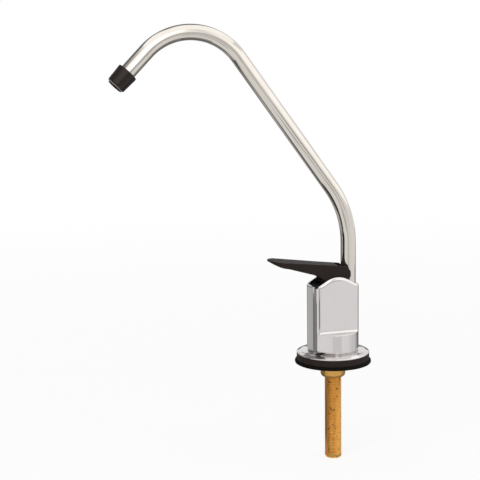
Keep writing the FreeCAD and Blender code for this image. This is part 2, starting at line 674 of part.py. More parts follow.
def build_gland():
    """The gland nut that guides the stem, with a seal outside and a seal inside, and its slot."""
    gland = new_body("gland_nut")
    outer = "(dim.chamber_radius - dim.screw_fit)"
    inner = "(dim.stem_radius + dim.screw_fit)"
    ring_low = f"({GLAND_BASE} + dim.gland_ring_height - dim.gland_groove_width / 2)"
    ring_high = f"({ring_low} + dim.gland_groove_width)"
    stem_low = f"({GLAND_BASE} + dim.stem_ring_height - dim.gland_groove_width / 2)"
    stem_high = f"({stem_low} + dim.gland_groove_width)"
    corners = [
        (inner, GLAND_BASE),
        (outer, GLAND_BASE),
        (outer, ring_low),
        (f"{outer} - dim.gland_groove_depth", ring_low),
        (f"{outer} - dim.gland_groove_depth", ring_high),
        (outer, ring_high),
        (outer, SLOT_FLOOR),
        (inner, SLOT_FLOOR),
        (inner, stem_high),
        (f"{inner} + dim.gland_groove_depth", stem_high),
        (f"{inner} + dim.gland_groove_depth", stem_low),
        (inner, stem_low),
    ]
    turn(gland, "plug", corners)
    slot = [
        ("-dim.screw_slot", f"{SLOT_FLOOR} - 2 * dim.screw_slot"),
        ("dim.screw_slot", f"{SLOT_FLOOR} - 2 * dim.screw_slot"),
        ("dim.screw_slot", f"{SLOT_FLOOR} + dim.overcut"),
        ("-dim.screw_slot", f"{SLOT_FLOOR} + dim.overcut"),
    ]
    extrude(gland, draw(gland, "slot", "XZ_Plane", slot), CLEAR_OF_ALL, cut=True)
    wire = "((dim.gland_groove_depth + dim.screw_fit) / 2 - dim.seal_squeeze)"
    ring_seal(
        "gland_o_ring",
        f"{GLAND_BASE} + dim.gland_ring_height",
        f"dim.chamber_radius - dim.seal_squeeze - {wire}",
        wire,
    )
    ring_seal(
        "stem_o_ring",
        f"{GLAND_BASE} + dim.stem_ring_height",
        f"dim.stem_radius + dim.seal_squeeze + {wire}",
        wire,
    )


def build_saddle():
    """The plastic plate in the bottom of the slot, which the lever's cam stands on."""
    plate = new_body("saddle_plate")
    half = "(dim.slot_half - dim.saddle_gap)"
    front = "(dim.slot_front - dim.saddle_gap)"
    plan = rounded_front(half, front, "dim.saddle_back", "(dim.slot_round - dim.saddle_gap)")
    raise_plan(plate, draw(plate, "plan", "XY_Plane", plan), SLOT_FLOOR, SADDLE_TOP)
    hole = draw_circle(plate, "stem_hole", "XY_Plane", "0", "0", "dim.saddle_hole_radius")
    extrude(plate, hole, f"2 * ({SADDLE_TOP} + dim.overcut)", cut=True)


def cam_point(rise, angle, side):
    """A point of the cam's face where it meets the plate when the lever has turned by an angle."""
    distance = f"(dim.cam_radius + {rise} * ({angle}) * pi / 180)"
    across = f"({side} * ({distance} * sin({angle}) + {rise} * cos({angle})))"
    level = f"({PIN_LEVEL} - {distance} * cos({angle}) + {rise} * sin({angle}))"
    return across, level


def cam_curve(rise, angle):
    """The cam face's radius of curvature at an angle."""
    return f"(dim.cam_radius + {rise} * ({angle}) * pi / 180)"


def lever_side():
    """The lever's outline seen from the side, anticlockwise from its tip."""
    nose = ("-dim.tip_reach + dim.tip_set", f"{PIN_LEVEL} + dim.tip_rise", "dim.tip_round", 1)
    tip = ("-dim.tip_reach", f"{PIN_LEVEL} + dim.tip_rise - dim.tip_set", "dim.belly_radius", 1)
    belly = ("-dim.belly_reach", f"{PIN_LEVEL} + dim.belly_rise")
    throat = ("-dim.throat_reach", f"{PIN_LEVEL} - dim.throat_drop")
    neck = ("-dim.neck_reach", f"{PIN_LEVEL} - dim.neck_drop")
    press, lift = "dim.press_rise", "dim.lift_rise"
    press_end = cam_point(press, "dim.press_angle", -1)
    press_start = cam_point(press, "0", -1)
    lift_start = cam_point(lift, "0", 1)
    lift_middle = cam_point(lift, "dim.lift_angle / 2", 1)
    lift_end = cam_point(lift, "dim.lift_angle", 1)
    heel = ("dim.heel_reach", f"{PIN_LEVEL} + dim.heel_rise")
    back = ("dim.lever_back", f"{PIN_LEVEL} + dim.lever_back_rise")
    return [
        nose,
        tip,
        belly,
        throat,
        neck,
        (*press_end, cam_curve(press, "dim.press_angle / 2"), 1),
        press_start,
        (*lift_start, cam_curve(lift, "dim.lift_angle / 4"), 1),
        (*lift_middle, cam_curve(lift, "dim.lift_angle * 3 / 4"), 1),
        lift_end,
        heel,
        back,
    ]


def build_lever():
    """The black lever: a tapered blade, a cam hub, and a fork that straddles the spout.

    The pin snaps into the hub from below, so it doesn't show from the side.
    """
    lever = new_body("lever_handle")
    extrude(lever, draw(lever, "side", "YZ_Plane", lever_side()), "2 * (dim.blade_half + dim.overcut)")
    tip_height = "(dim.tip_reach - dim.blade_end)"
    tip_radius = f"((dim.blade_half ^ 2 + {tip_height} ^ 2) / (2 * {tip_height}))"
    outside = "(dim.blade_half + 2 * dim.overcut)"
    behind = "(dim.heel_reach + 3 * dim.overcut)"
    ahead = "-(dim.tip_reach + dim.overcut)"
    plan = [
        ("dim.hub_half", behind),
        (outside, behind),
        (outside, ahead),
        (minus(outside), ahead),
        (minus(outside), behind),
        ("-dim.hub_half", behind),
        ("-dim.hub_half", "-dim.hub_front"),
        ("-dim.blade_half", "-dim.blade_end", tip_radius, 1),
        ("dim.blade_half", "-dim.blade_end"),
        ("dim.hub_half", "-dim.hub_front"),
    ]
    tall = f"4 * {PIN_LEVEL}"
    extrude(lever, draw(lever, "plan", "XY_Plane", plan), tall, cut=True)
    deep = f"({PIN_LEVEL} - 2 * dim.cam_radius)"
    high = f"({PIN_LEVEL} + 2 * dim.cam_radius)"
    barrel = "dim.barrel_radius"
    fork = [
        ("0", f"{PIN_LEVEL} + {barrel}", barrel, -1),
        (barrel, PIN_LEVEL, barrel, -1),
        ("0", f"{PIN_LEVEL} - {barrel}"),
        ("0", deep),
        (behind, deep),
        (behind, high),
        ("0", high),
    ]
    notch = "2 * (dim.tube_radius + dim.fork_gap)"
    extrude(lever, draw(lever, "fork", "YZ_Plane", fork), notch, cut=True)
    cavity = [
        (minus("dim.cavity_front"), deep),
        (f"{barrel} + dim.overcut", deep),
        (f"{barrel} + dim.overcut", f"{PIN_LEVEL} + dim.cavity_rise"),
        (minus("dim.cavity_front"), f"{PIN_LEVEL} + dim.cavity_rise"),
    ]
    gap = "2 * (dim.stem_radius + dim.cavity_gap)"
    extrude(lever, draw(lever, "cavity", "YZ_Plane", cavity), gap, cut=True)
    pin_space = "2 * (dim.pin_half + dim.pin_end_gap)"
    hole = draw_circle(lever, "pin_hole", "YZ_Plane", "0", PIN_LEVEL, "dim.pin_radius + dim.pin_fit")
    extrude(lever, hole, pin_space, cut=True)
    way = "(dim.pin_radius - dim.pin_snap)"
    way_in = [(minus(way), deep), (way, deep), (way, PIN_LEVEL), (minus(way), PIN_LEVEL)]
    extrude(lever, draw(lever, "pin_way", "YZ_Plane", way_in), pin_space, cut=True)

    pin = doc.addObject("Part::Cylinder", "lever_pin")
    pin.Placement.Rotation = FreeCAD.Rotation(FreeCAD.Vector(0, 1, 0), 90)
    pin.setExpression("Radius", "dim.pin_radius")
    pin.setExpression("Height", "2 * dim.pin_half")
    pin.setExpression(".Placement.Base.x", "-dim.pin_half")
    pin.setExpression(".Placement.Base.z", PIN_LEVEL)
    PIECES.append(pin)


def tube_path(body, name):
    """The gooseneck's axis: upright, a wide bend, a long slant, a tighter crook and a short end."""
    sketch = body.newObject("Sketcher::SketchObject", f"{body.Label}_{name}")
    sketch.AttachmentSupport = [(origin_plane(body, "YZ_Plane"), "")]
    sketch.MapMode = "FlatFace"
    runs = [
        ("line", f"{BEND_START} - {TUBE_BASE}"),
        ("arc", "dim.lower_bend_radius", "dim.lower_bend_angle"),
        ("line", "dim.slant_length"),
        ("arc", "dim.crook_radius", "dim.crook_angle"),
        ("line", "dim.outlet_run"),
    ]
    start = FreeCAD.Vector(0, number(TUBE_BASE), 0)
    leaning = 0.0
    last = None
    for run in runs:
        ahead = FreeCAD.Vector(-math.sin(leaning), math.cos(leaning), 0)
        if run[0] == "line":
            end = start + ahead * number(run[1])
            geo = sketch.addGeometry(Part.LineSegment(start, end))
            held = [("Distance", run[1])]
        else:
            radius = number(run[1])
            angle = math.radians(number(run[2]))
            centre = start + FreeCAD.Vector(-math.cos(leaning), -math.sin(leaning), 0) * radius
            circle = Part.Circle(centre, FreeCAD.Vector(0, 0, 1), radius)
            geo = sketch.addGeometry(Part.ArcOfCircle(circle, leaning, leaning + angle))
            leaning += angle
            end = centre + FreeCAD.Vector(math.cos(leaning), math.sin(leaning), 0) * radius
            held = [("Radius", run[1]), ("Angle", run[2])]
        if last is None:
            sketch.addConstraint(Sketcher.Constraint("DistanceX", -1, 1, geo, 1, 0.0))
            foot = sketch.addConstraint(Sketcher.Constraint("DistanceY", -1, 1, geo, 1, start.y))
            sketch.setExpression(f"Constraints[{foot}]", TUBE_BASE)
            sketch.addConstraint(Sketcher.Constraint("Vertical", geo))
        else:
            sketch.addConstraint(Sketcher.Constraint("Tangent", last, 2, geo, 1))
        for kind, expression in held:
            value = number(expression)
            if kind == "Angle":
                value = math.radians(value)
                expression = f"{expression} * 1 deg"
            index = sketch.addConstraint(Sketcher.Constraint(kind, geo, value))
            sketch.setExpression(f"Constraints[{index}]", expression)
        last = geo
        start = end
    return sketch, [f"Edge{i}" for i in range(1, len(runs) + 1)]


def spout_end():
    """Where the tube ends, as expressions: its place on Y and Z, and how far its end is turned."""
    first = "dim.lower_bend_angle"
    both = "(dim.lower_bend_angle + dim.crook_angle)"
    reach = (
        f"(dim.lower_bend_radius * (1 - cos({first})) + dim.slant_length * sin({first})"
        f" + dim.crook_radius * (cos({first}) - cos({both})) + dim.outlet_run * sin({both}))"
    )
    level = (
        f"({BEND_START} + dim.lower_bend_radius * sin({first}) + dim.slant_length * cos({first})"
        f" + dim.crook_radius * (sin({both}) - sin({first})) + dim.outlet_run * cos({both}))"
    )
    return f"dim.spout_offset - {reach}", level, both


def build_spout():
    """The bent tube, and the brass fitting in its foot with two seals and a snap ring."""
    tube = new_body("spout_tube")
    path, edges = tube_path(tube, "axis")
    doc.recompute()
    for name, radius, kind in (
        ("outside", "dim.tube_radius", "PartDesign::AdditivePipe"),
        ("inside", TUBE_BORE, "PartDesign::SubtractivePipe"),
    ):
        before = volume(tube)
        section = draw_circle(tube, name, "XY_Plane", "0", "0", radius)
        section.setExpression(".AttachmentOffset.Base.z", TUBE_BASE)
        doc.recompute()
        pipe = tube.newObject(kind, f"spout_tube_{name}_pipe")
        pipe.Profile = section
        pipe.Spine = (path, edges)
        checked(pipe, before, grows=name == "outside")
    move_to_spout(tube)

    ferrule = new_body("spout_ferrule")
    groove = "(dim.tube_radius - dim.ring_groove_depth)"
    lands = []
    rings = [
        ("dim.lower_ring_height", "dim.ring_groove_width / 2", groove),
        ("dim.upper_ring_height", "dim.ring_groove_width / 2", groove),
        ("dim.snap_ring_height", SNAP_GROOVE_HALF, SNAP_SEAT),
    ]
    for place, half, depth in rings:
        low = f"{FERRULE_BASE} + {place} - {half}"
        high = f"{FERRULE_BASE} + {place} + {half}"
        lands += [("dim.tube_radius", low), (depth, low), (depth, high), ("dim.tube_radius", high)]
    spigot = f"({TUBE_BORE} - dim.screw_fit)"
    corners = [
        ("dim.ferrule_bore_radius", FERRULE_BASE),
        ("dim.tube_radius", FERRULE_BASE),
        *lands,
        ("dim.tube_radius", TUBE_BASE),
        (spigot, TUBE_BASE),
        (spigot, f"{TUBE_BASE} + dim.ferrule_spigot"),
        ("dim.ferrule_bore_radius", f"{TUBE_BASE} + dim.ferrule_spigot"),
    ]
    turn(ferrule, "fitting", corners)
    move_to_spout(ferrule)
    wire = "((dim.ring_groove_depth + dim.swivel_fit) / 2 - dim.seal_squeeze)"
    for label, place in (
        ("spout_o_ring_lower", "dim.lower_ring_height"),
        ("spout_o_ring_upper", "dim.upper_ring_height"),
    ):
        mean = f"{SOCKET_RADIUS} - dim.seal_squeeze - {wire}"
        move_to_spout(ring_seal(label, f"{FERRULE_BASE} + {place}", mean, wire))
    mean = f"{SOCKET_RADIUS} + dim.snap_bite - dim.snap_wire_radius"
    level = f"{FERRULE_BASE} + dim.snap_ring_height"
    snap = ring_seal("spout_snap_ring", level, mean, "dim.snap_wire_radius")
    snap.setExpression("Angle3", "360 - dim.snap_opening")
    move_to_spout(snap)


def at_spout_end(piece):
    """Put a piece drawn about the Z axis on the tube's end, with +Z along the water's way out."""
    across, level, turned = spout_end()
    piece.Placement.Rotation = FreeCAD.Rotation(FreeCAD.Vector(1, 0, 0), number(turned))
    piece.setExpression(".Placement.Rotation.Angle", f"{turned} * 1 deg")
    piece.setExpression(".Placement.Base.y", across)
    piece.setExpression(".Placement.Base.z", level)


def build_nozzle():
    """The black outlet cap on the tube's end, with its seal and flow straightener."""
    nozzle = new_body("nozzle")
    back = "-dim.nozzle_grip"
    mouth = "(dim.nozzle_length - dim.nozzle_grip)"
    bore = "(dim.tube_radius + dim.nozzle_fit)"
    groove_half = "dim.nozzle_groove_depth / 2"
    corners = [
        (bore, back),
        ("dim.nozzle_back_radius - dim.nozzle_bevel", back),
        ("dim.nozzle_back_radius", f"{back} + dim.nozzle_bevel"),
        ("dim.nozzle_front_radius", f"{mouth} - dim.nozzle_bevel"),
        ("dim.nozzle_front_radius - dim.nozzle_bevel", mouth),
        ("dim.mouth_radius", mouth),
        ("dim.mouth_radius", "dim.insert_flange"),
        (bore, "dim.insert_flange"),
        (bore, f"-dim.nozzle_groove_place + {groove_half}"),
        (f"{bore} + dim.nozzle_groove_depth", f"-dim.nozzle_groove_place + {groove_half}"),
        (f"{bore} + dim.nozzle_groove_depth", f"-dim.nozzle_groove_place - {groove_half}"),
        (bore, f"-dim.nozzle_groove_place - {groove_half}"),
    ]
    turn(nozzle, "cap", corners)
    at_spout_end(nozzle)

    insert = new_body("nozzle_insert")
    flange = "(dim.tube_radius + dim.nozzle_fit - dim.insert_gap)"
    barrel = f"({TUBE_BORE} - dim.insert_gap)"
    corners = [
        ("dim.insert_hole_radius", "-dim.insert_barrel"),
        (barrel, "-dim.insert_barrel"),
        (barrel, "0"),
        (flange, "0"),
        (flange, "dim.insert_flange"),
        ("dim.insert_hole_radius", "dim.insert_flange"),
    ]
    turn(insert, "disc", corners)
    circle = ("dim.insert_hole_circle", "0", "dim.insert_hole_radius")
    hole = extrude(insert, draw_circle(insert, "hole", "XY_Plane", *circle), CLEAR_OF_ALL, cut=True)
    pattern = insert.newObject("PartDesign::PolarPattern", "nozzle_insert_holes")
    pattern.Originals = [hole]
    pattern.Axis = (origin_plane(insert, "Z_Axis"), [""])
    pattern.Angle = 360
    pattern.setExpression("Occurrences", "dim.insert_holes")
    insert.Tip = pattern
    checked(pattern)
    at_spout_end(insert)

    seal = doc.addObject("Part::Torus", "nozzle_o_ring")
    wire = "((dim.nozzle_groove_depth + dim.nozzle_fit) / 2 - dim.seal_squeeze)"
    seal.setExpression("Radius1", f"dim.tube_radius + dim.seal_squeeze + {wire}")
    seal.setExpression("Radius2", wire)
    across, level, turned = spout_end()
    at_spout_end(seal)
    seal.setExpression(".Placement.Base.y", f"{across} + dim.nozzle_groove_place * sin({turned})")
    seal.setExpression(".Placement.Base.z", f"{level} - dim.nozzle_groove_place * cos({turned})")
    PIECES.append(seal)


def export():
    """Check every object of the document and every piece, and write one file for each piece."""
    doc.recompute()
    for item in doc.Objects:
        if "Invalid" in item.State or "Error" in item.State:
            raise RuntimeError(f"{item.Label} failed to build")
    os.makedirs("parts", exist_ok=True)
    for piece in PIECES:
        shape = piece.Shape
        if shape.isNull() or not shape.isValid() or not shape.Solids:
            raise RuntimeError(f"{piece.Label} is not a valid solid")
        shape.exportStep(os.path.join("parts", f"{piece.Label}.step"))
        print(f"{piece.Label}: {shape.Volume:.1f} cubic mm")


build_base()
build_shank()
build_body()
build_valve()
build_saddle()
build_lever()
build_spout()
build_nozzle()
export()
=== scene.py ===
import json
import math

import bmesh
import bpy
from mathutils import Matrix, Vector, geometry

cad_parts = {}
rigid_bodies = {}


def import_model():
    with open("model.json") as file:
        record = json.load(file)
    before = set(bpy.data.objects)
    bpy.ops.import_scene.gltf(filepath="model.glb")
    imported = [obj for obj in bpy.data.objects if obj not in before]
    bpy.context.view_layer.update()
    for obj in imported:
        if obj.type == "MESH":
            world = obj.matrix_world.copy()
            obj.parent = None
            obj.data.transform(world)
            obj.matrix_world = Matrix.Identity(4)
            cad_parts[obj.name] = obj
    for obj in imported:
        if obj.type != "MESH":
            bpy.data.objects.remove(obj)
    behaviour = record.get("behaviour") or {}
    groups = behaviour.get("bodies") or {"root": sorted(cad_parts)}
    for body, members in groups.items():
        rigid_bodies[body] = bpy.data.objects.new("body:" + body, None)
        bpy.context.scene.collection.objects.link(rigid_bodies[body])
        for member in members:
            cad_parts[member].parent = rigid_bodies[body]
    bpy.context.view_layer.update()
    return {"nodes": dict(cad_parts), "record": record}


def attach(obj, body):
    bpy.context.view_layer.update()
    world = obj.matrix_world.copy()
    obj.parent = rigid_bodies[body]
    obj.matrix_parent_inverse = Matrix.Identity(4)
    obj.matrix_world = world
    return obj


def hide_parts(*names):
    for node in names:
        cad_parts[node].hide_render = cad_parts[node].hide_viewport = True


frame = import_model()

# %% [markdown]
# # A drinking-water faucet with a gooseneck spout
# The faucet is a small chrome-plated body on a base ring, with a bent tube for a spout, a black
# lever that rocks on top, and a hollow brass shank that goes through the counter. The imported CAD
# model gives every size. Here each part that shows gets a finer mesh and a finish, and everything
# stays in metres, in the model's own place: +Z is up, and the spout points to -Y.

MM = 0.001


def millimetres(*numbers):
    """A point given in millimetres, as a vector in metres."""
    return Vector(numbers) * MM


# %% [markdown]
# ## The camera
# The photograph was taken from the right and a little above, with a long lens, so the sides look
# nearly parallel. A camera is an object whose -Z axis looks forward. Its rotation matrix is made
# from two measured directions, right and up, and from their cross product, which points backward.
# That is surer than typing three angles.

# %% Camera
def add_object(name, data):
    """An object for a mesh, a lamp or a camera, linked to the scene so that it shows."""
    thing = bpy.data.objects.new(name, data)
    bpy.context.scene.collection.objects.link(thing)
    return thing


camera_place = millimetres(701.33, -272.03, 204.83)
camera_right = Vector((0.28811, 0.95748, -0.01524))
camera_up = Vector((-0.15020, 0.06090, 0.98678))
camera_back = camera_right.cross(camera_up)
turn = Matrix((camera_right, camera_up, camera_back)).transposed()
lens = bpy.data.cameras.new("studio_camera")
lens.lens = 87.5
lens.sensor_width = 36.0
camera = add_object("studio_camera", lens)
camera.matrix_world = Matrix.Translation(camera_place) @ turn.to_4x4()
bpy.context.scene.camera = camera
bpy.context.scene.view_settings.view_transform = "Standard"
print("camera:", [round(v, 4) for v in camera.matrix_world.translation])

# %% [markdown]
# ## Colours and shader nodes
# A hex code is an sRGB colour, as a screen shows it, but a shader works with linear light. So one
# function turns hex into linear numbers. A material is a small network of nodes. One function adds
# a node, sets its values and wires its inputs, which keeps every recipe below short.

# %% Colour and node helpers
def linear(code):
    """Linear colour of an sRGB hex code such as '#C8A050'."""
    parts = [int(code[i:i + 2], 16) / 255 for i in (1, 3, 5)]
    low = [c / 12.92 if c <= 0.04045 else ((c + 0.055) / 1.055) ** 2.4 for c in parts]
    return (*low, 1.0)


def add_node(tree, kind, settings=None, inputs=None):
    """Add a node. A setting is one of its properties; an input is a value or another socket."""
    node = tree.nodes.new(kind)
    for name, value in (settings or {}).items():
        setattr(node, name, value)
    for name, value in (inputs or {}).items():
        if isinstance(value, bpy.types.NodeSocket):
            tree.links.new(value, node.inputs[name])
        else:
            node.inputs[name].default_value = value
    return node


print("red of #C0C0C0 in linear light:", round(linear("#C0C0C0")[0], 3))

# %% [markdown]
# ## What all finishes share
# No real surface has one flat colour. So one noise lets the colour drift between two close shades,
# one makes the surface shinier here and duller there, and one moves it in and out a little. Their
# sizes are given in millimetres. All finishes below start from this recipe, and what only one of
# them has, such as a stain, is a layer painted over its colour.

# %% Recipe of a finish
EVEN = (1, 1, 1)
# Nearly all of a noise lies between these two values.
NOISE_LOW, NOISE_HIGH = 0.3, 0.7
# A Mix node has sockets for numbers, vectors and colours side by side. These are for colours.
MIX_FROM, MIX_TO, MIX_COLOUR = 6, 7, 2


def make_finish(name, shades, tint, shine, roughness, relief=None, relief_mm=0.0, layers=(),
                carried=None, **surface):
    """A material from patterns, each a size in mm, a detail and a squeeze along X, Y and Z.

    Roughness gives its lowest and highest value. Without a relief of its own, the shine's pattern
    is used. A layer is a function for its share of the colour, and its hex code. Carried names a
    position that the mesh stores for the patterns. What is left goes to the shader's sockets.
    """
    material = bpy.data.materials.new(name)
    material.use_nodes = True
    tree = material.node_tree
    shader = tree.nodes["Principled BSDF"]
    for socket, value in surface.items():
        shader.inputs[socket.replace("_", " ")].default_value = value
    if carried:
        place = add_node(tree, "ShaderNodeAttribute", {"attribute_name": carried}).outputs["Vector"]
    else:
        place = add_node(tree, "ShaderNodeTexCoord").outputs["Object"]
    relief = relief or shine
    noise = {}
    for pattern in dict.fromkeys((tint, shine, relief)):
        size_mm, detail, squeeze = pattern
        scaled = add_node(tree, "ShaderNodeMapping", inputs={"Vector": place, "Scale": squeeze})
        noise[pattern] = add_node(tree, "ShaderNodeTexNoise", inputs={
            "Vector": scaled.outputs["Vector"], "Scale": 1 / (size_mm * MM), "Detail": detail,
        }).outputs["Fac"]
    colour = add_node(tree, "ShaderNodeMix", {"data_type": "RGBA"}, {
        "Factor": noise[tint], MIX_FROM: linear(shades[0]), MIX_TO: linear(shades[1]),
    }).outputs[MIX_COLOUR]
    for share, code in layers:
        colour = add_node(tree, "ShaderNodeMix", {"data_type": "RGBA"}, {
            "Factor": share(tree, place), MIX_FROM: colour, MIX_TO: linear(code),
        }).outputs[MIX_COLOUR]
    tree.links.new(colour, shader.inputs["Base Color"])
    dullness = add_node(tree, "ShaderNodeMapRange", inputs={
        "Value": noise[shine], "From Min": NOISE_LOW, "From Max": NOISE_HIGH,
        "To Min": roughness[0], "To Max": roughness[1],
    })
    tree.links.new(dullness.outputs["Result"], shader.inputs["Roughness"])
    if relief_mm:
        bump = add_node(tree, "ShaderNodeBump", inputs={
            "Height": noise[relief], "Distance": relief_mm * MM, "Strength": 1.0,
        })
        tree.links.new(bump.outputs["Normal"], shader.inputs["Normal"])
    print("finish:", name)
    return material


# %% [markdown]
# ## Chrome plate
# The body and the base ring are castings, ground, buffed and plated with bright chromium. Chromium
# reflects about 60 % of the light, a little less red than blue. Buffing leaves very fine lines and
# a faint waviness that bends reflections at the edges, so the roughness drifts and a long, shallow
# noise moves the surface by a few thousandths of a millimetre.

# %% Chrome plate on the castings
# Buffing lines are too fine to show, so they are drawn 1.6 mm wide.
chrome_plate = make_finish(
    "chrome_plated_casting", ("#D4D1D0", "#CFCBCA"), tint=(9.0, 2.0, EVEN),
    shine=(1.6, 2.0, (1, 1, 0.25)), roughness=(0.0385, 0.0825),
    relief=(7.0, 0.0, EVEN), relief_mm=0.004, Metallic=1.0,
)

# %% [markdown]
# ## Chromed tube
# The spout is drawn brass tube, polished on a belt before and after it was bent, then plated. It
# looks a little warmer than the body, because the nickel under the thin chromium shows through.
# The belt leaves fine scratches along the tube, which blur its reflections more than the body's.
# To run along the bends too, their pattern uses a position that the tube's mesh will carry.

# %% Chromed tube
# Belt scratches are too fine to show too, and are drawn 1.6 mm wide and 40 mm long.
chrome_tube = make_finish(
    "chromed_brass_tube", ("#D6D1CA", "#CDC6BD"), tint=(9.0, 2.0, EVEN),
    shine=(1.6, 2.0, (1, 1, 0.04)), roughness=(0.063, 0.135),
    relief=(7.0, 0.0, EVEN), relief_mm=0.003, carried="along_tube", Metallic=1.0,
)

# %% [markdown]
# ## Moulded plastics
# The lever and the nozzle are injection-moulded ABS. Its IOR is 1.54, and the steel mould was left
# with a fine spark-eroded grain, which gives a satin shine. The nozzle is smoother, and its lip gets
# a paler colour: a painted highlight along the edge of its mouth. The spacer ring under the base is
# glass-filled nylon, IOR 1.53, duller and slightly brown. The saddle plate in the slot is acetal,
# IOR 1.48. Such a grain shadows itself, which a bump can't show, so the specular level is set low
# instead.

# %% Moulded plastics
def painted_lip_highlight(tree, place):
    """1 where the nozzle's mesh is marked for its lip's painted highlight, and 0 elsewhere."""
    return add_node(tree, "ShaderNodeAttribute", {"attribute_name": "lip_highlight_mark"}).outputs["Fac"]


def moulded(name, shades, roughness, ior, grain_mm, grain_depth_mm, gloss=0.14, layers=()):
    """A moulded plastic: its shades flow over 6 mm, and its grain varies the shine."""
    return make_finish(
        name, shades, tint=(6.0, 2.0, EVEN), shine=(grain_mm, 3.0, EVEN), roughness=roughness,
        relief_mm=grain_depth_mm, layers=layers, IOR=ior, Specular_IOR_Level=gloss,
    )


# Spark-eroded grain is about 0.1 mm; 0.35 mm is the finest that still shows in the picture.
black_abs = moulded("moulded_black_abs", ("#1B120F", "#251A17"), (0.44, 0.58), 1.54, 0.35, 0.003)
# The pale layer on the nozzle's lip is a painted highlight along the edge of its mouth.
glossy_abs = moulded(
    "moulded_glossy_abs", ("#1A110E", "#241915"), (0.26, 0.40), 1.54, 0.35, 0.002,
    gloss=0.24, layers=[(painted_lip_highlight, "#A89F98")],
)
black_nylon = moulded("glass_filled_nylon", ("#1F1613", "#281D1A"), (0.49, 0.63), 1.53, 0.5, 0.006)
black_acetal = moulded("black_acetal", ("#0B0908", "#120F0E"), (0.44, 0.58), 1.48, 0.5, 0.005)
white_acetal = moulded("white_acetal", ("#D9D5CC", "#CCC7BC"), (0.34, 0.48), 1.48, 0.5, 0.005)

# %% [markdown]
# ## Rubber
# The washer under the base is black EPDM rubber, cut from a moulded sheet. Carbon black makes it
# darker than the plastics, and its surface is dull, with hardly any shine.

# %% Rubber
dust = (1.2, 4.0, EVEN)
rubber = make_finish(
    "moulded_epdm_rubber", ("#090706", "#100C0B"), tint=dust, shine=dust, roughness=(0.62, 0.8),
    relief_mm=0.02, IOR=1.52, Specular_IOR_Level=0.06,
)

# %% [markdown]
# ## Brass
# The shank and its collar are turned from free-cutting brass and left bare. Handling and cutting
# oil leave a darker, redder stain in scattered blotches. The tool leaves fine rings round the
# piece, so the pattern of the shine is squeezed along Z. The flat on the shank is milled last, so
# its colour is cleaner and more orange.

# %% Turned brass
FLAT_Y = -4.9
# The share of the flat's own colour, and the depths behind the flat where it starts and ends to fade.
FLAT_SHARE, FADE_START, FADE_END = 0.85, 0.05, 0.25
# A turning tool's rings are too fine to show, so they are drawn 0.25 mm apart.
RINGS = (1.0, 2.0, (0.2, 0.2, 4))
BLOTCH_MM, BLOTCH_SQUEEZE = 1.9, 0.8
# Where blotches start in their noise, how far a stain lowers that, and how soft their edges are.
BLOTCH_START, STAIN_GAIN, BLOTCH_EDGE = 0.68, 0.2, 0.08


def stains(stained):
    """A layer of blotches 2 mm wide, which cover more of the piece the higher stained is."""
    def share(tree, place):
        squashed = add_node(tree, "ShaderNodeMapping", inputs={
            "Vector": place, "Scale": (1, 1, BLOTCH_SQUEEZE),
        })
        blotch = add_node(tree, "ShaderNodeTexNoise", inputs={
            "Vector": squashed.outputs["Vector"], "Scale": 1 / (BLOTCH_MM * MM), "Detail": 4.0,
        })
        start = BLOTCH_START - STAIN_GAIN * stained
        return add_node(tree, "ShaderNodeMapRange", inputs={
            "Value": blotch.outputs["Fac"], "From Min": start, "From Max": start + BLOTCH_EDGE,
        }).outputs["Result"]
    return share


def milled_flat(tree, place):
    """The share of the flat's own colour: most of it on the flat, and none a little behind it."""
    depth = add_node(tree, "ShaderNodeSeparateXYZ", inputs={"Vector": place}).outputs["Y"]
    return add_node(tree, "ShaderNodeMapRange", inputs={
        "Value": depth, "From Min": (FLAT_Y + FADE_START) * MM,
        "From Max": (FLAT_Y + FADE_END) * MM, "To Min": FLAT_SHARE, "To Max": 0.0,
    }).outputs["Result"]


def turned_brass(name, shades, layers):
    """Bare brass with a tool's rings and the given layers."""
    return make_finish(name, shades, tint=(4.0, 3.0, EVEN), shine=RINGS, roughness=(0.28, 0.42),
                       relief_mm=0.006, layers=layers, Metallic=1.0)


brass_thread = turned_brass("turned_brass_thread", ("#F0C070", "#DDA24A"),
                            [(stains(0.35), "#7A4A1C"), (milled_flat, "#F8A038")])
brass_collar = turned_brass("turned_brass_collar", ("#D8AA60", "#CA9A50"),
                            [(stains(0.2), "#9A6C30")])

# %% [markdown]
# ## Stainless steel
# The spring, the cross pin, the snap ring and a small screw are drawn stainless wire and rod, bright
# but with fine lines from the drawing die. They sit inside the faucet.

# %% Stainless steel
die_lines = (0.4, 3.0, EVEN)
steel = make_finish("drawn_stainless_steel", ("#B9B7B4", "#A9A7A4"), tint=die_lines,
                    shine=die_lines, roughness=(0.2, 0.35), Metallic=1.0)

# %% [markdown]
# ## Making meshes
# Most pieces here were turned on a lathe, so a section is drawn once and swept round an axis. Sharp
# corners look false, because every real edge is a little round and catches the light. So each
# corner of a section is written with its own radius, and a helper puts a small arc there.

# %% Round the corners of a section
def rounded(corners, steps=5):
    """A section's points, with an arc at each (across, up, radius) corner. It is a closed loop."""
    points = []
    for i, (across, up, radius) in enumerate(corners):
        corner = Vector((across, up))
        before = Vector(corners[i - 1][:2])
        after = Vector(corners[(i + 1) % len(corners)][:2])
        if radius <= 0:
            points.append(corner)
            continue
        to_before = (before - corner).normalized()
        to_after = (after - corner).normalized()
        half = to_before.angle(to_after) / 2
        if half > math.radians(89.5):
            points.append(corner)
            continue
        reach = radius / math.tan(half)
        centre = corner + (to_before + to_after).normalized() * (radius / math.sin(half))
        first = corner + to_before * reach - centre
        last = corner + to_after * reach - centre
        sweep = first.angle_signed(last)
        for k in range(steps + 1):
            angle = -sweep * k / steps
            points.append(centre + Matrix.Rotation(angle, 2) @ first)
    return points


section_sample = rounded([(0, 0, 0), (4, 0, 1), (4, 3, 0)])
print("a corner with a radius of 1 becomes", len(section_sample) - 2, "points")

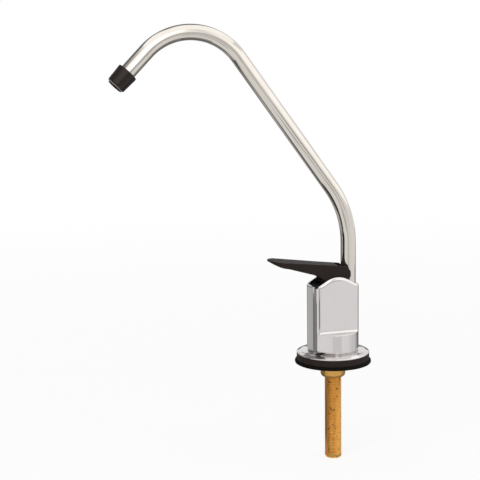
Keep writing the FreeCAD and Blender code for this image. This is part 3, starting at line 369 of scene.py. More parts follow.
# %% [markdown]
# ## From a mesh to a piece
# A mesh becomes a piece of the faucet in one place: it gets its object, its finish, smooth shading
# with real edges kept sharp, and the body that it moves with. Weighted normals keep the flats flat
# in the reflections, which matters on chrome.

# %% Turn a mesh into a piece
TURN_STEPS = 144


def finish_piece(name, mesh, body, material, nodes, sharp_deg=38.0):
    """Make a mesh the piece that stands for the named CAD nodes and moves with a body."""
    mesh.name = name
    for face in mesh.polygons:
        face.use_smooth = True
    mesh.set_sharp_from_angle(angle=math.radians(sharp_deg))
    mesh.materials.clear()
    mesh.materials.append(material)
    piece = add_object(name, mesh)
    weighted = piece.modifiers.new("flat faces stay flat", "WEIGHTED_NORMAL")
    weighted.keep_sharp = True
    weighted.weight = 100
    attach(piece, body)
    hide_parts(*nodes)
    size = [round(v / MM, 1) for v in piece.dimensions]
    print(f"{name}: {len(mesh.polygons)} faces, {size} mm")


def turned_mesh(section, steps=TURN_STEPS):
    """Sweep a closed section of (radius, height) points, in millimetres, round the Z axis."""
    mesh = bpy.data.meshes.new("turned")
    verts, faces, count = [], [], len(section)
    for s in range(steps):
        angle = 2 * math.pi * s / steps
        for radius, height in section:
            verts.append(millimetres(radius * math.cos(angle), radius * math.sin(angle), height))
    for s in range(steps):
        here, there = s * count, ((s + 1) % steps) * count
        for k in range(count):
            after = (k + 1) % count
            faces.append((here + k, there + k, there + after, here + after))
    mesh.from_pydata(verts, [], faces)
    mesh.validate()
    return mesh


print("a turned piece has", TURN_STEPS, "steps round its axis")

# %% [markdown]
# ## The rings on the counter
# From the counter up: a rubber washer with a slightly wider lip, a black spacer, and the chromed
# base ring, whose top rises in a very low dome to the body. All three are plain turned sections.

# %% Washer, spacer and base ring
gasket_section = [
    (9.0, 0, 0.1), (25.12, 0, 0.45), (25.12, 1.35, 0.35), (24.35, 2.0, 0.2), (9.0, 2.0, 0.1),
]
spacer_section = [
    (5.86, 2.0, 0.1), (23.9, 2.0, 0.25), (23.9, 6.46, 0.25), (5.86, 6.46, 0.1),
]
ring_section = [
    (5.86, 6.46, 0), (23.9, 6.46, 0.12), (23.9, 7.2, 0.5), (21.3, 8.1, 4.0), (17.6, 8.5, 2.0),
    (5.86, 8.5, 0),
]
for name, section, slot, material, node in [
    ("counter_washer", gasket_section, "rubber", rubber, "counter_gasket"),
    ("spacer_ring", spacer_section, "black_nylon", black_nylon, "base_spacer"),
    ("base_ring", ring_section, "chrome_plate", chrome_plate, "escutcheon"),
]:
    finish_piece(name, turned_mesh(rounded(section)), "housing", material, [node])

# %% [markdown]
# ## The body's outline
# Seen from above, the body is a circle with two flats, and the corners between them are rounded.
# It is built as a stack of such outlines. Every outline uses the same list of columns, so that the
# points of one level sit right above those of the level below, and the walls become clean quads.

# %% The body's plan
BODY_R, FLAT_X, CORNER_R, COVE_R = 16.95, 10.1, 2.4, 2.0
BODY_FOOT, LEDGE_Z, SHOULDER_Z, CREST_Z = 8.5, 21.3, 52.4, 58.3
SHOULDER_Y, ROOF_DEG = 14.0, 31.0


def corner_centre(flat_x):
    """Where the round corner's centre is, for a flat at that distance from the middle."""
    return math.sqrt((BODY_R - CORNER_R) ** 2 - (flat_x - CORNER_R) ** 2)


def column_list():
    """The Y of every column along one side, from the front to the back."""
    centre_y = corner_centre(FLAT_X)
    tangent_angle = math.atan2(centre_y, FLAT_X - CORNER_R)
    columns = []
    round_steps = 22
    for k in range(1, round_steps + 1):
        angle = math.pi / 2 - (math.pi / 2 - tangent_angle) * k / round_steps
        columns.append(-BODY_R * math.sin(angle))
    corner_steps = 9
    for k in range(1, corner_steps + 1):
        angle = tangent_angle * (1 - k / corner_steps)
        columns.append(-(centre_y + CORNER_R * math.sin(angle)))
    front = list(columns)
    flat_steps = 24
    for k in range(1, flat_steps):
        columns.append(-centre_y + 2 * centre_y * k / flat_steps)
    return columns + [-y for y in reversed(front)]


def plan_point(y, flat_x, inset=0.0):
    """The (x, y) of a column on the +X side, and the outline moved in by inset."""
    full = math.sqrt(max(BODY_R ** 2 - y ** 2, 0.0))
    if flat_x >= BODY_R:
        return full * (BODY_R - inset) / BODY_R, y * (BODY_R - inset) / BODY_R
    centre_x, centre_y = flat_x - CORNER_R, corner_centre(flat_x)
    tangent_y = centre_y * BODY_R / (BODY_R - CORNER_R)
    if abs(y) >= tangent_y:
        return full * (BODY_R - inset) / BODY_R, y * (BODY_R - inset) / BODY_R
    if abs(y) <= centre_y:
        return flat_x - inset, y
    rise = abs(y) - centre_y
    across = math.sqrt(max(CORNER_R ** 2 - rise ** 2, 0.0))
    scale = (CORNER_R - inset) / CORNER_R
    return centre_x + across * scale, math.copysign(centre_y + rise * scale, y)


columns = column_list()
print("columns on each side:", len(columns))

# %% [markdown]
# From the side, the roof is two slopes that meet in a round crest. Its height is a formula, so that
# the outer wall and the slot's rim can both end on it.

# %% The roof's height
def roof(y):
    """Height of the sloping roof at a distance y from the middle: two slopes and a round crest."""
    slope = math.radians(ROOF_DEG)
    radius = (SHOULDER_Y * math.tan(slope) - (CREST_Z - SHOULDER_Z)) / (
        math.sin(slope) * math.tan(slope) - 1 + math.cos(slope)
    )
    y = abs(y)
    if y <= radius * math.sin(slope):
        return CREST_Z - radius + math.sqrt(radius ** 2 - y ** 2)
    return max(SHOULDER_Z, SHOULDER_Z + (SHOULDER_Y - y) * math.tan(slope))


print("roof at the middle:", round(roof(0), 2), "mm")

# %% [markdown]
# ## The body's walls
# The wall climbs from the foot through the round drum, steps in at the ledge, curves up through a
# cove, and ends in a rounded rim along the roof. Each row is one closed outline, and neighbouring
# rows are joined by quads. Where a row has nothing to do, as the ledge has at the round front,
# its points fall together and are merged afterwards.

# %% Outlines of the outer wall
LEDGE_ROUND = 0.35
RIM_WIDE, RIM_LOSS, RIM_FADE_FROM, RIM_FADE_LENGTH = 1.45, 0.9, 11.0, 3.0
# A flat that is farther out than the body's radius cuts nothing off, so the row stays round.
NO_FLAT = BODY_R + 1


def outline(flat_x, inset, level):
    """One closed row, seen from above. Inset and level are numbers or functions of y."""
    depth = inset if callable(inset) else (lambda y: inset)
    half = [plan_point(y, flat_x, depth(y)) for y in columns]
    loop = [(0.0, -(BODY_R - depth(BODY_R)))] + half
    loop += [(0.0, BODY_R - depth(BODY_R))] + [(-x, y) for x, y in reversed(half)]
    height = level if callable(level) else (lambda y: level)
    return [millimetres(x, y, height(y)) for x, y in loop]


def ledge_edge(share):
    """The rounded outer edge of the ledge, drawn only where there is a ledge."""
    angle = share * math.pi / 2
    row = []
    for point in outline(NO_FLAT, 0.0, LEDGE_Z):
        x, y = point.x / MM, point.y / MM
        width = max(abs(x) - (FLAT_X + COVE_R), 0.0)
        edge = min(LEDGE_ROUND, width * 0.5)
        scale = 1 - edge * (1 - math.cos(angle)) / BODY_R
        row.append(millimetres(x * scale, y * scale, LEDGE_Z - edge * (1 - math.sin(angle))))
    return row


def rim_radius(y):
    """Radius of the rim: wide along the flats, narrow at the round front and back."""
    share = min(max((abs(y) - RIM_FADE_FROM) / RIM_FADE_LENGTH, 0.0), 1.0)
    return RIM_WIDE - RIM_LOSS * share * share * (3 - 2 * share)


print("points in an outline:", len(outline(FLAT_X, 0.0, SHOULDER_Z)))

# %% [markdown]
# Now the rows are stacked: the foot, which is drawn in a little where it meets the base ring, then
# the ledge's edge, the cove and the rim. The rim is drawn taller than it is deep, and that gives
# the thin line that the real one has under it.

# %% Rows of the outer wall
RIM_STRETCH = 1.8
# How far each of the foot's rows is drawn in, and how high above the base ring it lies.
FOOT_TAPER = [
    (0.85, 0.0), (0.82, 0.04), (0.17, 1.05), (0.1, 1.17), (0.05, 1.3), (0.015, 1.45), (0.0, 1.65),
]
rows = [outline(NO_FLAT, inset, BODY_FOOT + up) for inset, up in FOOT_TAPER]
rows += [ledge_edge(k / 4) for k in range(5)]
for k in range(9):
    angle = math.pi / 2 * k / 8
    flat_x = FLAT_X + COVE_R * (1 - math.sin(angle))
    rows.append(outline(flat_x, 0.0, LEDGE_Z + COVE_R * (1 - math.cos(angle))))
for k in range(8):
    out, up = 1 - math.cos(math.pi / 2 * k / 7), 1 - math.sin(math.pi / 2 * k / 7)
    rows.append(outline(
        FLAT_X,
        lambda y, out=out: rim_radius(y) * out,
        lambda y, up=up: roof(y) - RIM_STRETCH * rim_radius(y) * up,
    ))
print("rows:", len(rows), "points in a row:", len(rows[0]))

# %% [markdown]
# ## The slot and the holes
# The slot for the lever has two rounded front corners and runs back into the round socket that
# the spout turns in. Both are one outline on the roof.

# %% Outline of the slot and the socket
SLOT_X, SLOT_FRONT, SLOT_BACK, SLOT_ROUND, SLOT_FLOOR = 7.9, 15.2, 10.3, 4.0, 49.0
SOCKET_Y, SOCKET_R, SOCKET_FLOOR = 10.9, 5.05, 33.0
CHAMBER_R, CHAMBER_FLOOR = 4.8, 24.0
SLOT_STEPS, CORNER_STEPS, SOCKET_STEPS = 40, 8, 26


def arc(centre_x, centre_y, radius, start_deg, end_deg, steps):
    """Points of an arc in the ground plane, both ends included."""
    points = []
    for k in range(steps + 1):
        angle = math.radians(start_deg + (end_deg - start_deg) * k / steps)
        points.append((centre_x + radius * math.cos(angle), centre_y + radius * math.sin(angle)))
    return points


def slot_loop(out):
    """The slot and the back of the socket as one closed outline, moved out by out."""
    half, front, back = SLOT_X + out, SLOT_FRONT + out, SLOT_BACK + out
    socket, corner = SOCKET_R + out, SLOT_ROUND + out
    cut = math.degrees(math.asin((back - SOCKET_Y) / socket))
    length = front - corner + back
    side = [(half, -front + corner + length * k / SLOT_STEPS) for k in range(1, SLOT_STEPS)]
    left = arc(-half + corner, -front + corner, corner, 180, 270, CORNER_STEPS)
    right = arc(half - corner, -front + corner, corner, 270, 360, CORNER_STEPS)
    behind = arc(0, SOCKET_Y, socket, cut, 180 - cut, SOCKET_STEPS)
    mirrored = [(-x, y) for x, y in reversed(side)]
    return left + right + side + [(half, back)] + behind + [(-half, back)] + mirrored


print("slot outline:", len(slot_loop(0)), "points")

# %% [markdown]
# The flat faces between outlines are filled with a constrained triangulation: it takes loops of
# points and makes faces whose edges never cross them, which a face with holes needs. It also fills
# the holes, so a test on each face's middle says which faces are kept.

# %% Fill between outlines
def fill(bm, loops, keep, lines=()):
    """Fill the region between closed loops of mesh points, along open lines, where keep says so."""
    points, edges, verts = [], [], []
    for loop, closed in [(loop, True) for loop in loops] + [(line, False) for line in lines]:
        start, count = len(points), len(loop)
        points += [Vector((v.co.x, v.co.y)) for v in loop]
        verts += loop
        edges += [(start + k, start + (k + 1) % count) for k in range(count - (not closed))]
    found = geometry.delaunay_2d_cdt(points, edges, [], 0, 1e-9)
    for face in found[2]:
        middle = sum((found[0][k] for k in face), Vector((0, 0))) / len(face)
        if keep(middle.x / MM, middle.y / MM):
            corners = [verts[found[3][k][0]] for k in face]
            if len(set(corners)) == 3 and bm.faces.get(corners) is None:
                bm.faces.new(corners)


def inside(x, y, loop):
    """Whether a point lies inside a closed loop of (x, y) points."""
    hit = False
    for k, (x1, y1) in enumerate(loop):
        x2, y2 = loop[k - 1]
        if (y1 > y) != (y2 > y) and x < (x2 - x1) * (y - y1) / (y2 - y1) + x1:
            hit = not hit
    return hit


print("the middle plane is inside the slot:", inside(0, 0, slot_loop(0)))

# %% [markdown]
# ## The body in one closed mesh
# The outer rows, the roof, the slot, the spout's socket, the valve's chamber and the hole for the
# shank all join into one closed mesh. bmesh is Blender's mesh editor in code: it makes points and
# faces one by one, and at the end it turns all faces outward. These helpers add rows of points,
# join two rows by quads, and hand the result over to a mesh.

# %% Helpers for rows of points
def add_row(bm, points):
    """A row of mesh points."""
    return [bm.verts.new(point) for point in points]


def join_rows(bm, lower, upper):
    """A band of quads between two closed rows with as many points each."""
    count = len(lower)
    for k in range(count):
        after = (k + 1) % count
        bm.faces.new((lower[k], lower[after], upper[after], upper[k]))


def circle_row(bm, y, radius, level, steps=64):
    """A level round row about a point on the middle plane."""
    loop = arc(0, y, radius, 0, 360 - 360 / steps, steps - 1)
    return add_row(bm, (millimetres(px, py, level) for px, py in loop))


def mesh_of(bm, name):
    """Turn all faces outward and hand the finished points and faces over to a mesh."""
    bmesh.ops.recalc_face_normals(bm, faces=bm.faces)
    mesh = bpy.data.meshes.new(name)
    bm.to_mesh(mesh)
    bm.free()
    return mesh


body_bm = bmesh.new()
wall = [add_row(body_bm, row) for row in rows]
for lower, upper in zip(wall, wall[1:]):
    join_rows(body_bm, lower, upper)
print("faces in the outer wall:", len(body_bm.faces))

# %% [markdown]
# The slot goes down from the roof. Its edge is rounded by four rows close together, because it is
# the edge that catches the light beside the lever.

# %% Roof and slot
SLOT_RIM = 0.25
rim = []
for k in range(4):
    angle = math.pi / 2 * k / 3
    out, drop = SLOT_RIM * (1 - math.sin(angle)), SLOT_RIM * (1 - math.cos(angle))
    rim.append(add_row(body_bm, (millimetres(px, py, roof(py) - drop) for px, py in slot_loop(out))))
floor_loop = slot_loop(0)
floor_row = add_row(body_bm, (millimetres(px, py, SLOT_FLOOR) for px, py in floor_loop))
slot_rows = rim + [floor_row]
for upper, lower in zip(slot_rows, slot_rows[1:]):
    join_rows(body_bm, upper, lower)
outer_loop = [(v.co.x / MM, v.co.y / MM) for v in wall[-1]]
rim_loop = slot_loop(SLOT_RIM)
fill(body_bm, [wall[-1], rim[0]],
     lambda x, y: inside(x, y, outer_loop) and not inside(x, y, rim_loop))
print("points round the slot:", len(floor_row))

# %% [markdown]
# In the slot's floor are two round holes: the socket for the spout, whose back half is the end of
# the slot itself, and the chamber of the valve. The floor is filled round both.

# %% Socket and chamber
# A face counts as outside a hole when its middle is beyond nearly all of the hole's radius.
NEARLY = 0.998
cut = math.degrees(math.asin((SLOT_BACK - SOCKET_Y) / SOCKET_R))
first = 2 * (CORNER_STEPS + 1) + SLOT_STEPS
behind = floor_row[first:first + SOCKET_STEPS + 1]
front_arc = arc(0, SOCKET_Y, SOCKET_R, 180 - cut, 360 + cut, SOCKET_STEPS)[1:-1]
front = add_row(body_bm, (millimetres(px, py, SLOT_FLOOR) for px, py in front_arc))
socket_top = behind + front
socket_low = add_row(body_bm, (Vector((v.co.x, v.co.y, SOCKET_FLOOR * MM)) for v in socket_top))
chamber_top = circle_row(body_bm, 0, CHAMBER_R, SLOT_FLOOR)
chamber_low = circle_row(body_bm, 0, CHAMBER_R, CHAMBER_FLOOR)


def on_slot_floor(x, y):
    """Whether a point lies on the slot's floor and in neither hole."""
    clear_of_socket = math.hypot(x, y - SOCKET_Y) > SOCKET_R * NEARLY
    return clear_of_socket and math.hypot(x, y) > CHAMBER_R * NEARLY and inside(x, y, floor_loop)


line = [behind[-1]] + front + [behind[0]]
fill(body_bm, [floor_row, chamber_top], on_slot_floor, [line])
join_rows(body_bm, socket_top, socket_low)
join_rows(body_bm, chamber_top, chamber_low)
body_bm.faces.new(socket_low)
body_bm.faces.new(chamber_low)
print("points round the socket:", len(socket_top), "and the chamber:", len(chamber_top))

# %% [markdown]
# From below, a shallow recess takes a thin seal, and a blind hole takes the shank. Then points that
# lie together are merged, and the mesh is tested: in a closed mesh each edge joins two faces.

# %% Underside, and the finished body
SEAL_R, SEAL_DEPTH, SHANK_HOLE_R, SHANK_HOLE_TOP = 12.05, 1, 5.35, 20.35
MERGE_MM, SLIVER_MM = 0.002, 0.001
seal_low = circle_row(body_bm, 0, SEAL_R, BODY_FOOT)
seal_high = circle_row(body_bm, 0, SEAL_R, BODY_FOOT + SEAL_DEPTH)
hole_low = circle_row(body_bm, 0, SHANK_HOLE_R, BODY_FOOT + SEAL_DEPTH)
hole_high = circle_row(body_bm, 0, SHANK_HOLE_R, SHANK_HOLE_TOP)
join_rows(body_bm, seal_low, seal_high)
join_rows(body_bm, seal_high, hole_low)
join_rows(body_bm, hole_low, hole_high)
body_bm.faces.new(hole_high)
foot_loop = [(v.co.x / MM, v.co.y / MM) for v in wall[0]]
fill(body_bm, [wall[0], seal_low],
     lambda x, y: inside(x, y, foot_loop) and math.hypot(x, y) > SEAL_R * NEARLY)
bmesh.ops.remove_doubles(body_bm, verts=body_bm.verts, dist=MERGE_MM * MM)
bmesh.ops.dissolve_degenerate(body_bm, edges=body_bm.edges, dist=SLIVER_MM * MM)
open_edges = sum(1 for edge in body_bm.edges if not edge.is_manifold)
print("body: edges that don't join two faces:", open_edges)
finish_piece("body", mesh_of(body_bm, "body"), "housing", chrome_plate,
             ["faucet_body"])

# %% [markdown]
# ## The gooseneck
# The spout is one tube on a flat path: upright, a wide bend, a long slant, a tight crook and a short
# end. A row of rings follows the path, with more rings in the bends, and a second row inside makes
# the wall. Each point also stores how far along and round the tube it is, for the polishing lines.

# %% Spout tube
TUBE_R, TUBE_BORE = 5.0, 4.2
TUBE_FOOT = (SOCKET_Y, 46.05)
# A straight run has its length in mm; a bend has its radius in mm and its angle in degrees.
RUNS = [("straight", 33.45), ("bend", 62.3, 36.0), ("straight", 103.5), ("bend", 38.4, 99.7),
        ("straight", 24.5)]
STRAIGHT_GAP, BEND_GAP = 3, 0.9


def tube_stations():
    """(y, z, lean in radians, distance) at each ring along the tube's axis."""
    y, z, lean, done = *TUBE_FOOT, 0.0, 0.0
    stations = [(y, z, lean, done)]
    for run in RUNS:
        if run[0] == "straight":
            steps = max(2, round(run[1] / STRAIGHT_GAP))
            for k in range(steps):
                y -= math.sin(lean) * run[1] / steps
                z += math.cos(lean) * run[1] / steps
                done += run[1] / steps
                stations.append((y, z, lean, done))
        else:
            radius, angle = run[1], math.radians(run[2])
            centre_y, centre_z = y - radius * math.cos(lean), z - radius * math.sin(lean)
            steps = max(12, round(radius * angle / BEND_GAP))
            for k in range(1, steps + 1):
                now = lean + angle * k / steps
                y, z = centre_y + radius * math.cos(now), centre_z + radius * math.sin(now)
                stations.append((y, z, now, done + radius * angle * k / steps))
            lean, done = lean + angle, done + radius * angle
    return stations


stations = tube_stations()
tube_end = stations[-1]
print("tube ends at", [round(v, 2) for v in tube_end[:2]], "length", round(tube_end[3], 1), "mm")

# %% [markdown]
# The rings are laid across the path and joined, once for the outside and once for the bore, and the
# two skins are closed at both ends.

# %% Tube
AROUND = 72
tube_bm = bmesh.new()
way = tube_bm.verts.layers.float_vector.new("along_tube")
skins = []
for radius in (TUBE_R, TUBE_BORE):
    rings = []
    for y, z, lean, done in stations:
        ring = []
        for k in range(AROUND):
            angle = 2 * math.pi * k / AROUND
            out = math.sin(angle) * radius
            place_y, place_z = y + math.cos(lean) * out, z + math.sin(lean) * out
            vert = tube_bm.verts.new(millimetres(math.cos(angle) * radius, place_y, place_z))
            vert[way] = (math.cos(angle) * radius * MM, out * MM, done * MM)
            ring.append(vert)
        rings.append(ring)
    for lower, upper in zip(rings, rings[1:]):
        join_rows(tube_bm, lower, upper)
    skins.append(rings)
for end in (0, -1):
    join_rows(tube_bm, skins[0][end], skins[1][end])
finish_piece("gooseneck_tube", mesh_of(tube_bm, "tube"), "spout", chrome_tube,
             ["spout_tube"])

# %% [markdown]
# ## The nozzle
# A short black cap is pushed over the tube's end. It tapers towards its mouth, where a thin lip
# stands out, and its moulded edges are softly rounded. It is turned about Z and then moved and
# tilted onto the tube's end. The points round the lip are marked, and the finish paints them paler
# as a painted highlight along the edge of the mouth.

# %% Nozzle
NOZZLE_STEPS = 96
LIP_R, LIP_LOW, LIP_HIGH = 4.7, 3.41, 3.8
nozzle_section = [
    (5.03, -8.0, 0.1), (6.72, -8.0, 0.5), (6.02, 3.35, 0.9), (4.95, 3.4, 0.05), (4.9, 4.15, 0.12),
    (4.55, 4.15, 0.1), (4.55, 1.25, 0), (5.03, 1.25, 0),
]
nozzle_points = rounded(nozzle_section)
nozzle_mesh = turned_mesh(nozzle_points, NOZZLE_STEPS)
lip = [float(radius > LIP_R and LIP_LOW < height < LIP_HIGH) for radius, height in nozzle_points]
# These marks carry the lip's painted highlight, a paler colour in the nozzle's finish.
lip_highlight_mark = nozzle_mesh.attributes.new("lip_highlight_mark", "FLOAT", "POINT")
lip_highlight_mark.data.foreach_set("value", lip * NOZZLE_STEPS)
print("points of the lip in one section:", round(sum(lip)), "of", len(lip))
tilt = Matrix.Rotation(tube_end[2], 4, "X")
nozzle_mesh.transform(Matrix.Translation(millimetres(0, tube_end[0], tube_end[1])) @ tilt)
finish_piece("outlet_nozzle", nozzle_mesh, "spout", glossy_abs, ["nozzle"])

# %% [markdown]
# ## The lever
# The lever was moulded in one piece: a blade that tapers to a point in side view and widens in top
# view, a hub with a cam under it, and a fork that straddles the tube. Its shape is where a side
# outline and a top outline meet, so two thick slabs are cut with booleans. A moulding has no sharp
# edge, so the result is remeshed finely and smoothed a little, which rounds every edge alike.

# %% Outlines of the lever
PIN_Z = 60.0
CAM_R, PRESS_RISE, LIFT_RISE, PRESS_DEG, LIFT_DEG = 7.73, 5.4, 1.73, 12, 72
HUB_HALF, BLADE_HALF = 7.6, 10.0
FORK_END, HUB_FRONT, BLADE_FRONT, TIP_Y = 14.0, -8.0, -38.0, -44.4


def cam_point(rise, degrees, side):
    """A point of the cam: its distance from the pin grows as the lever turns."""
    angle = math.radians(degrees)
    far = CAM_R + rise * angle
    across = far * math.sin(angle) + rise * math.cos(angle)
    return side * across, PIN_Z - far * math.cos(angle) + rise * math.sin(angle)


def arc_between(start, end, radius, steps):
    """Points of the short arc from start to end that turns anticlockwise, without its end."""
    start, end = Vector(start), Vector(end)
    chord = end - start
    rise = math.sqrt(radius ** 2 - (chord.length / 2) ** 2)
    centre = (start + end) / 2 + Vector((-chord.y, chord.x)).normalized() * rise
    sweep = 2 * math.asin(chord.length / 2 / radius)
    arm = start - centre
    return [centre + Matrix.Rotation(sweep * k / steps, 2) @ arm for k in range(steps)]


nose, tip, belly = (-43.6, PIN_Z + 10.9), (TIP_Y, PIN_Z + 10.1), (-33.0, PIN_Z + 5.7)
side_view = arc_between(nose, tip, 0.9, 4) + arc_between(tip, belly, 27.0, 12)
side_view += [belly, (-13.1, PIN_Z - 0.4), (-7.7, PIN_Z - 4.3)]
side_view += [cam_point(PRESS_RISE, PRESS_DEG * (1 - k / 6), -1) for k in range(7)]
side_view += [cam_point(LIFT_RISE, LIFT_DEG * k / 18, 1) for k in range(19)]
side_view += [(9.7, PIN_Z + 1.4), (7.2, PIN_Z + 4.6)]
tip_length = BLADE_FRONT - TIP_Y
tip_radius = (BLADE_HALF ** 2 + tip_length ** 2) / (2 * tip_length)
top_view = [(HUB_HALF, FORK_END), (-HUB_HALF, FORK_END), (-HUB_HALF, HUB_FRONT)]
top_view += arc_between((-BLADE_HALF, BLADE_FRONT), (BLADE_HALF, BLADE_FRONT), tip_radius, 24)
top_view += [(BLADE_HALF, BLADE_FRONT), (HUB_HALF, HUB_FRONT)]
print("outlines:", len(side_view), "and", len(top_view), "points")

# %% [markdown]
# A slab is an outline pushed through from one level to another. The booleans keep what the side
# and top slabs share, and take away the fork's notch, the pocket for the stem and the pin's hole.

# %% Slabs and booleans
def slab(outline_points, low, high, place_point):
    """An outline extruded from low to high, as an object to cut with."""
    bm = bmesh.new()
    near = add_row(bm, (place_point(*point, low) for point in outline_points))
    far = add_row(bm, (place_point(*point, high) for point in outline_points))
    join_rows(bm, near, far)
    bm.faces.new(near)
    bm.faces.new(far)
    return add_object("slab", mesh_of(bm, "slab"))


def from_side(y, z, x):
    """A point of a side view, at a distance x from the middle plane."""
    return millimetres(x, y, z)


def settled(thing):
    """The mesh that an object's modifiers give, as a mesh of its own."""
    bpy.context.view_layer.update()
    ready = thing.evaluated_get(bpy.context.evaluated_depsgraph_get())
    return bpy.data.meshes.new_from_object(ready)


def cut_slabs(base, steps):
    """Apply booleans one after another and remove the cutting objects."""
    for operation, cutter in steps:
        boolean = base.modifiers.new("cut", "BOOLEAN")
        boolean.operation = operation
        boolean.object = cutter
        boolean.solver = "EXACT"
        base.data = settled(base)
        base.modifiers.clear()
        bpy.data.objects.remove(cutter)


def about_pin(points):
    """Side view points measured from the pin, moved to its height."""
    return [(y, z + PIN_Z) for y, z in points]


# The slab from the side is wider than the lever, and the slab from above is taller.
SLAB_HALF, SLAB_LOW, SLAB_HIGH = 12, 40, 80
lever = slab(side_view, -SLAB_HALF, SLAB_HALF, from_side)
print("the lever starts as a slab with", len(lever.data.polygons), "faces")

# %% [markdown]
# The notch between the fork's arms ends in front in a round barrel that turns on the pin. Outlines
# that cut right through reach well beyond the lever, since a boolean needs a clean crossing.

# %% Lever
BARREL_R, BEYOND, PIN_HOLE_R, PIN_HALF = 5.4, 16.0, 1.53, 5.5
POCKET_FRONT, POCKET_BACK, POCKET_TOP, POCKET_HALF = -3.9, 6.4, 3.6, 2.2
VOXEL_MM, SMOOTH_ROUNDS = 0.22, 10
notch = about_pin([(0.0, -BEYOND)] + arc(0, 0, BARREL_R, -90, 90, 20)
                  + [(0.0, BEYOND), (BEYOND, BEYOND), (BEYOND, -BEYOND)])
pocket = about_pin([(POCKET_FRONT, -BEYOND), (POCKET_BACK, -BEYOND),
                    (POCKET_BACK, POCKET_TOP), (POCKET_FRONT, POCKET_TOP)])
pin_hole = about_pin(arc(0, 0, PIN_HOLE_R, 0, 350, 35))
cut_slabs(lever, [
    ("INTERSECT", slab(top_view, SLAB_LOW, SLAB_HIGH, millimetres)),
    ("DIFFERENCE", slab(notch, -BARREL_R, BARREL_R, from_side)),
    ("DIFFERENCE", slab(pocket, -POCKET_HALF, POCKET_HALF, from_side)),
    ("DIFFERENCE", slab(pin_hole, -PIN_HALF, PIN_HALF, from_side)),
])
remesh = lever.modifiers.new("even mesh", "REMESH")
remesh.mode = "VOXEL"
remesh.voxel_size = VOXEL_MM * MM
smooth = lever.modifiers.new("moulded edges", "SMOOTH")
smooth.factor = 0.5
smooth.iterations = SMOOTH_ROUNDS
lever_mesh = settled(lever)
bpy.data.objects.remove(lever)
finish_piece("rocking_lever", lever_mesh, "lever", black_abs, ["lever_handle"], 80)

# %% [markdown]
# ## The threaded shank
# The shank is a brass stud with a 7/16 inch thread of 24 turns to the inch, a flat milled along its
# front and a water way through its middle. The thread here is a true helix: the depth of a point
# depends on its height and on its angle together, so the groove climbs one pitch for each turn.

# %% Threaded shank
CREST_R, PITCH, THREAD_DEPTH, CREST_SHARE = 5.556, 1.058, 0.45, 0.3
SHANK_END, THREAD_TOP, SPIGOT_TOP = -65.5, -9.9, 20.3
SPIGOT_R, WATER_WAY_R, END_CHAMFER = 5.3, 3.0, 0.55
PLAIN_END, PAST_TOP, FADE, FIRST_ROW = 2.4, 0.3, 0.8, 1.2
ROWS_PER_TURN, SHANK_STEPS = 8, 96


def thread_radius(angle, height):
    """Radius of the threaded part at an angle and a height."""
    start, end = SHANK_END + PLAIN_END, THREAD_TOP + PAST_TOP
    fade = min(max((height - start) / FADE, 0), max((end - height) / FADE, 0), 1)
    turn_share = (height / PITCH - angle / (2 * math.pi)) % 1.0
    groove = 1 - abs(2 * turn_share - 1)
    groove = max(0.0, (groove - CREST_SHARE) / (1 - CREST_SHARE))
    return CREST_R - THREAD_DEPTH * groove * fade


levels = [(SHANK_END, -END_CHAMFER), (SHANK_END + END_CHAMFER, 0)]
thread_rows = round((THREAD_TOP - SHANK_END - FIRST_ROW) / PITCH * ROWS_PER_TURN)
levels += [(SHANK_END + FIRST_ROW + PITCH * k / ROWS_PER_TURN, 0) for k in range(thread_rows)]
levels += [(THREAD_TOP, 0)]
shank_bm = bmesh.new()
shank_rows = []
for height, inset in levels:
    row = []
    for k in range(SHANK_STEPS):
        angle = 2 * math.pi * k / SHANK_STEPS
        radius = thread_radius(angle, height) + inset
        y = max(radius * math.sin(angle), FLAT_Y)
        row.append(shank_bm.verts.new(millimetres(radius * math.cos(angle), y, height)))
    shank_rows.append(row)
for radius, height in [(SPIGOT_R, THREAD_TOP), (SPIGOT_R, SPIGOT_TOP),
                       (WATER_WAY_R, SPIGOT_TOP), (WATER_WAY_R, SHANK_END)]:
    shank_rows.append(circle_row(shank_bm, 0, radius, height, SHANK_STEPS))
for lower, upper in zip(shank_rows, shank_rows[1:] + shank_rows[:1]):
    join_rows(shank_bm, lower, upper)
finish_piece("shank", mesh_of(shank_bm, "shank"), "housing", brass_thread,
             ["threaded_shank"], 30)

# %% [markdown]
# ## The collar
# A brass collar under the counter washer centres the faucet in its hole. It is turned, with a
# large round corner at its lower end, which leads it into the hole.

# %% Collar
collar_section = [
    (5.35, -9.9, 0.1), (8.15, -9.9, 2.2), (8.15, 2.0, 0.1), (5.35, 2.0, 0),
]
finish_piece("hole_collar", turned_mesh(rounded(collar_section)), "housing",
             brass_collar, ["shank_collar"])

# %% [markdown]
# ## Pieces kept from the CAD model
# What is hidden inside, such as the valve's stem and its seals, keeps its CAD shape. Each piece only
# gets the finish of its material.

# %% Finishes for the CAD pieces that stay
finish_of = {
    "chrome_plate": chrome_plate, "chrome_tube": chrome_tube, "black_abs": black_abs,
    "black_nylon": black_nylon, "black_acetal": black_acetal, "white_acetal": white_acetal,
    "rubber": rubber, "brass": brass_collar, "stainless_steel": steel,
}
for part in frame["record"]["subparts"]:
    node = frame["nodes"][part["node"]]
    node.data.materials.clear()
    node.data.materials.append(finish_of[part["material_slot"]])
shown = [name for name, node in frame["nodes"].items() if not node.hide_render]
print("CAD pieces that stay:", sorted(shown))

# %% [markdown]
# ## Floor and background
# The faucet stands on a white floor that fades into a white world. The floor still takes the
# faucet's shadow: part of its light is its own, but only for rays that come from the camera or from
# a mirror, and the rest is lit as any white surface is. Its own share grows with the distance, so
# that the floor has turned fully white before it ends.

# %% Helpers for the floor and the world
def empty_tree(owner):
    """The node tree of a material or a world, emptied of what it starts with."""
    owner.use_nodes = True
    owner.node_tree.nodes.clear()
    return owner.node_tree


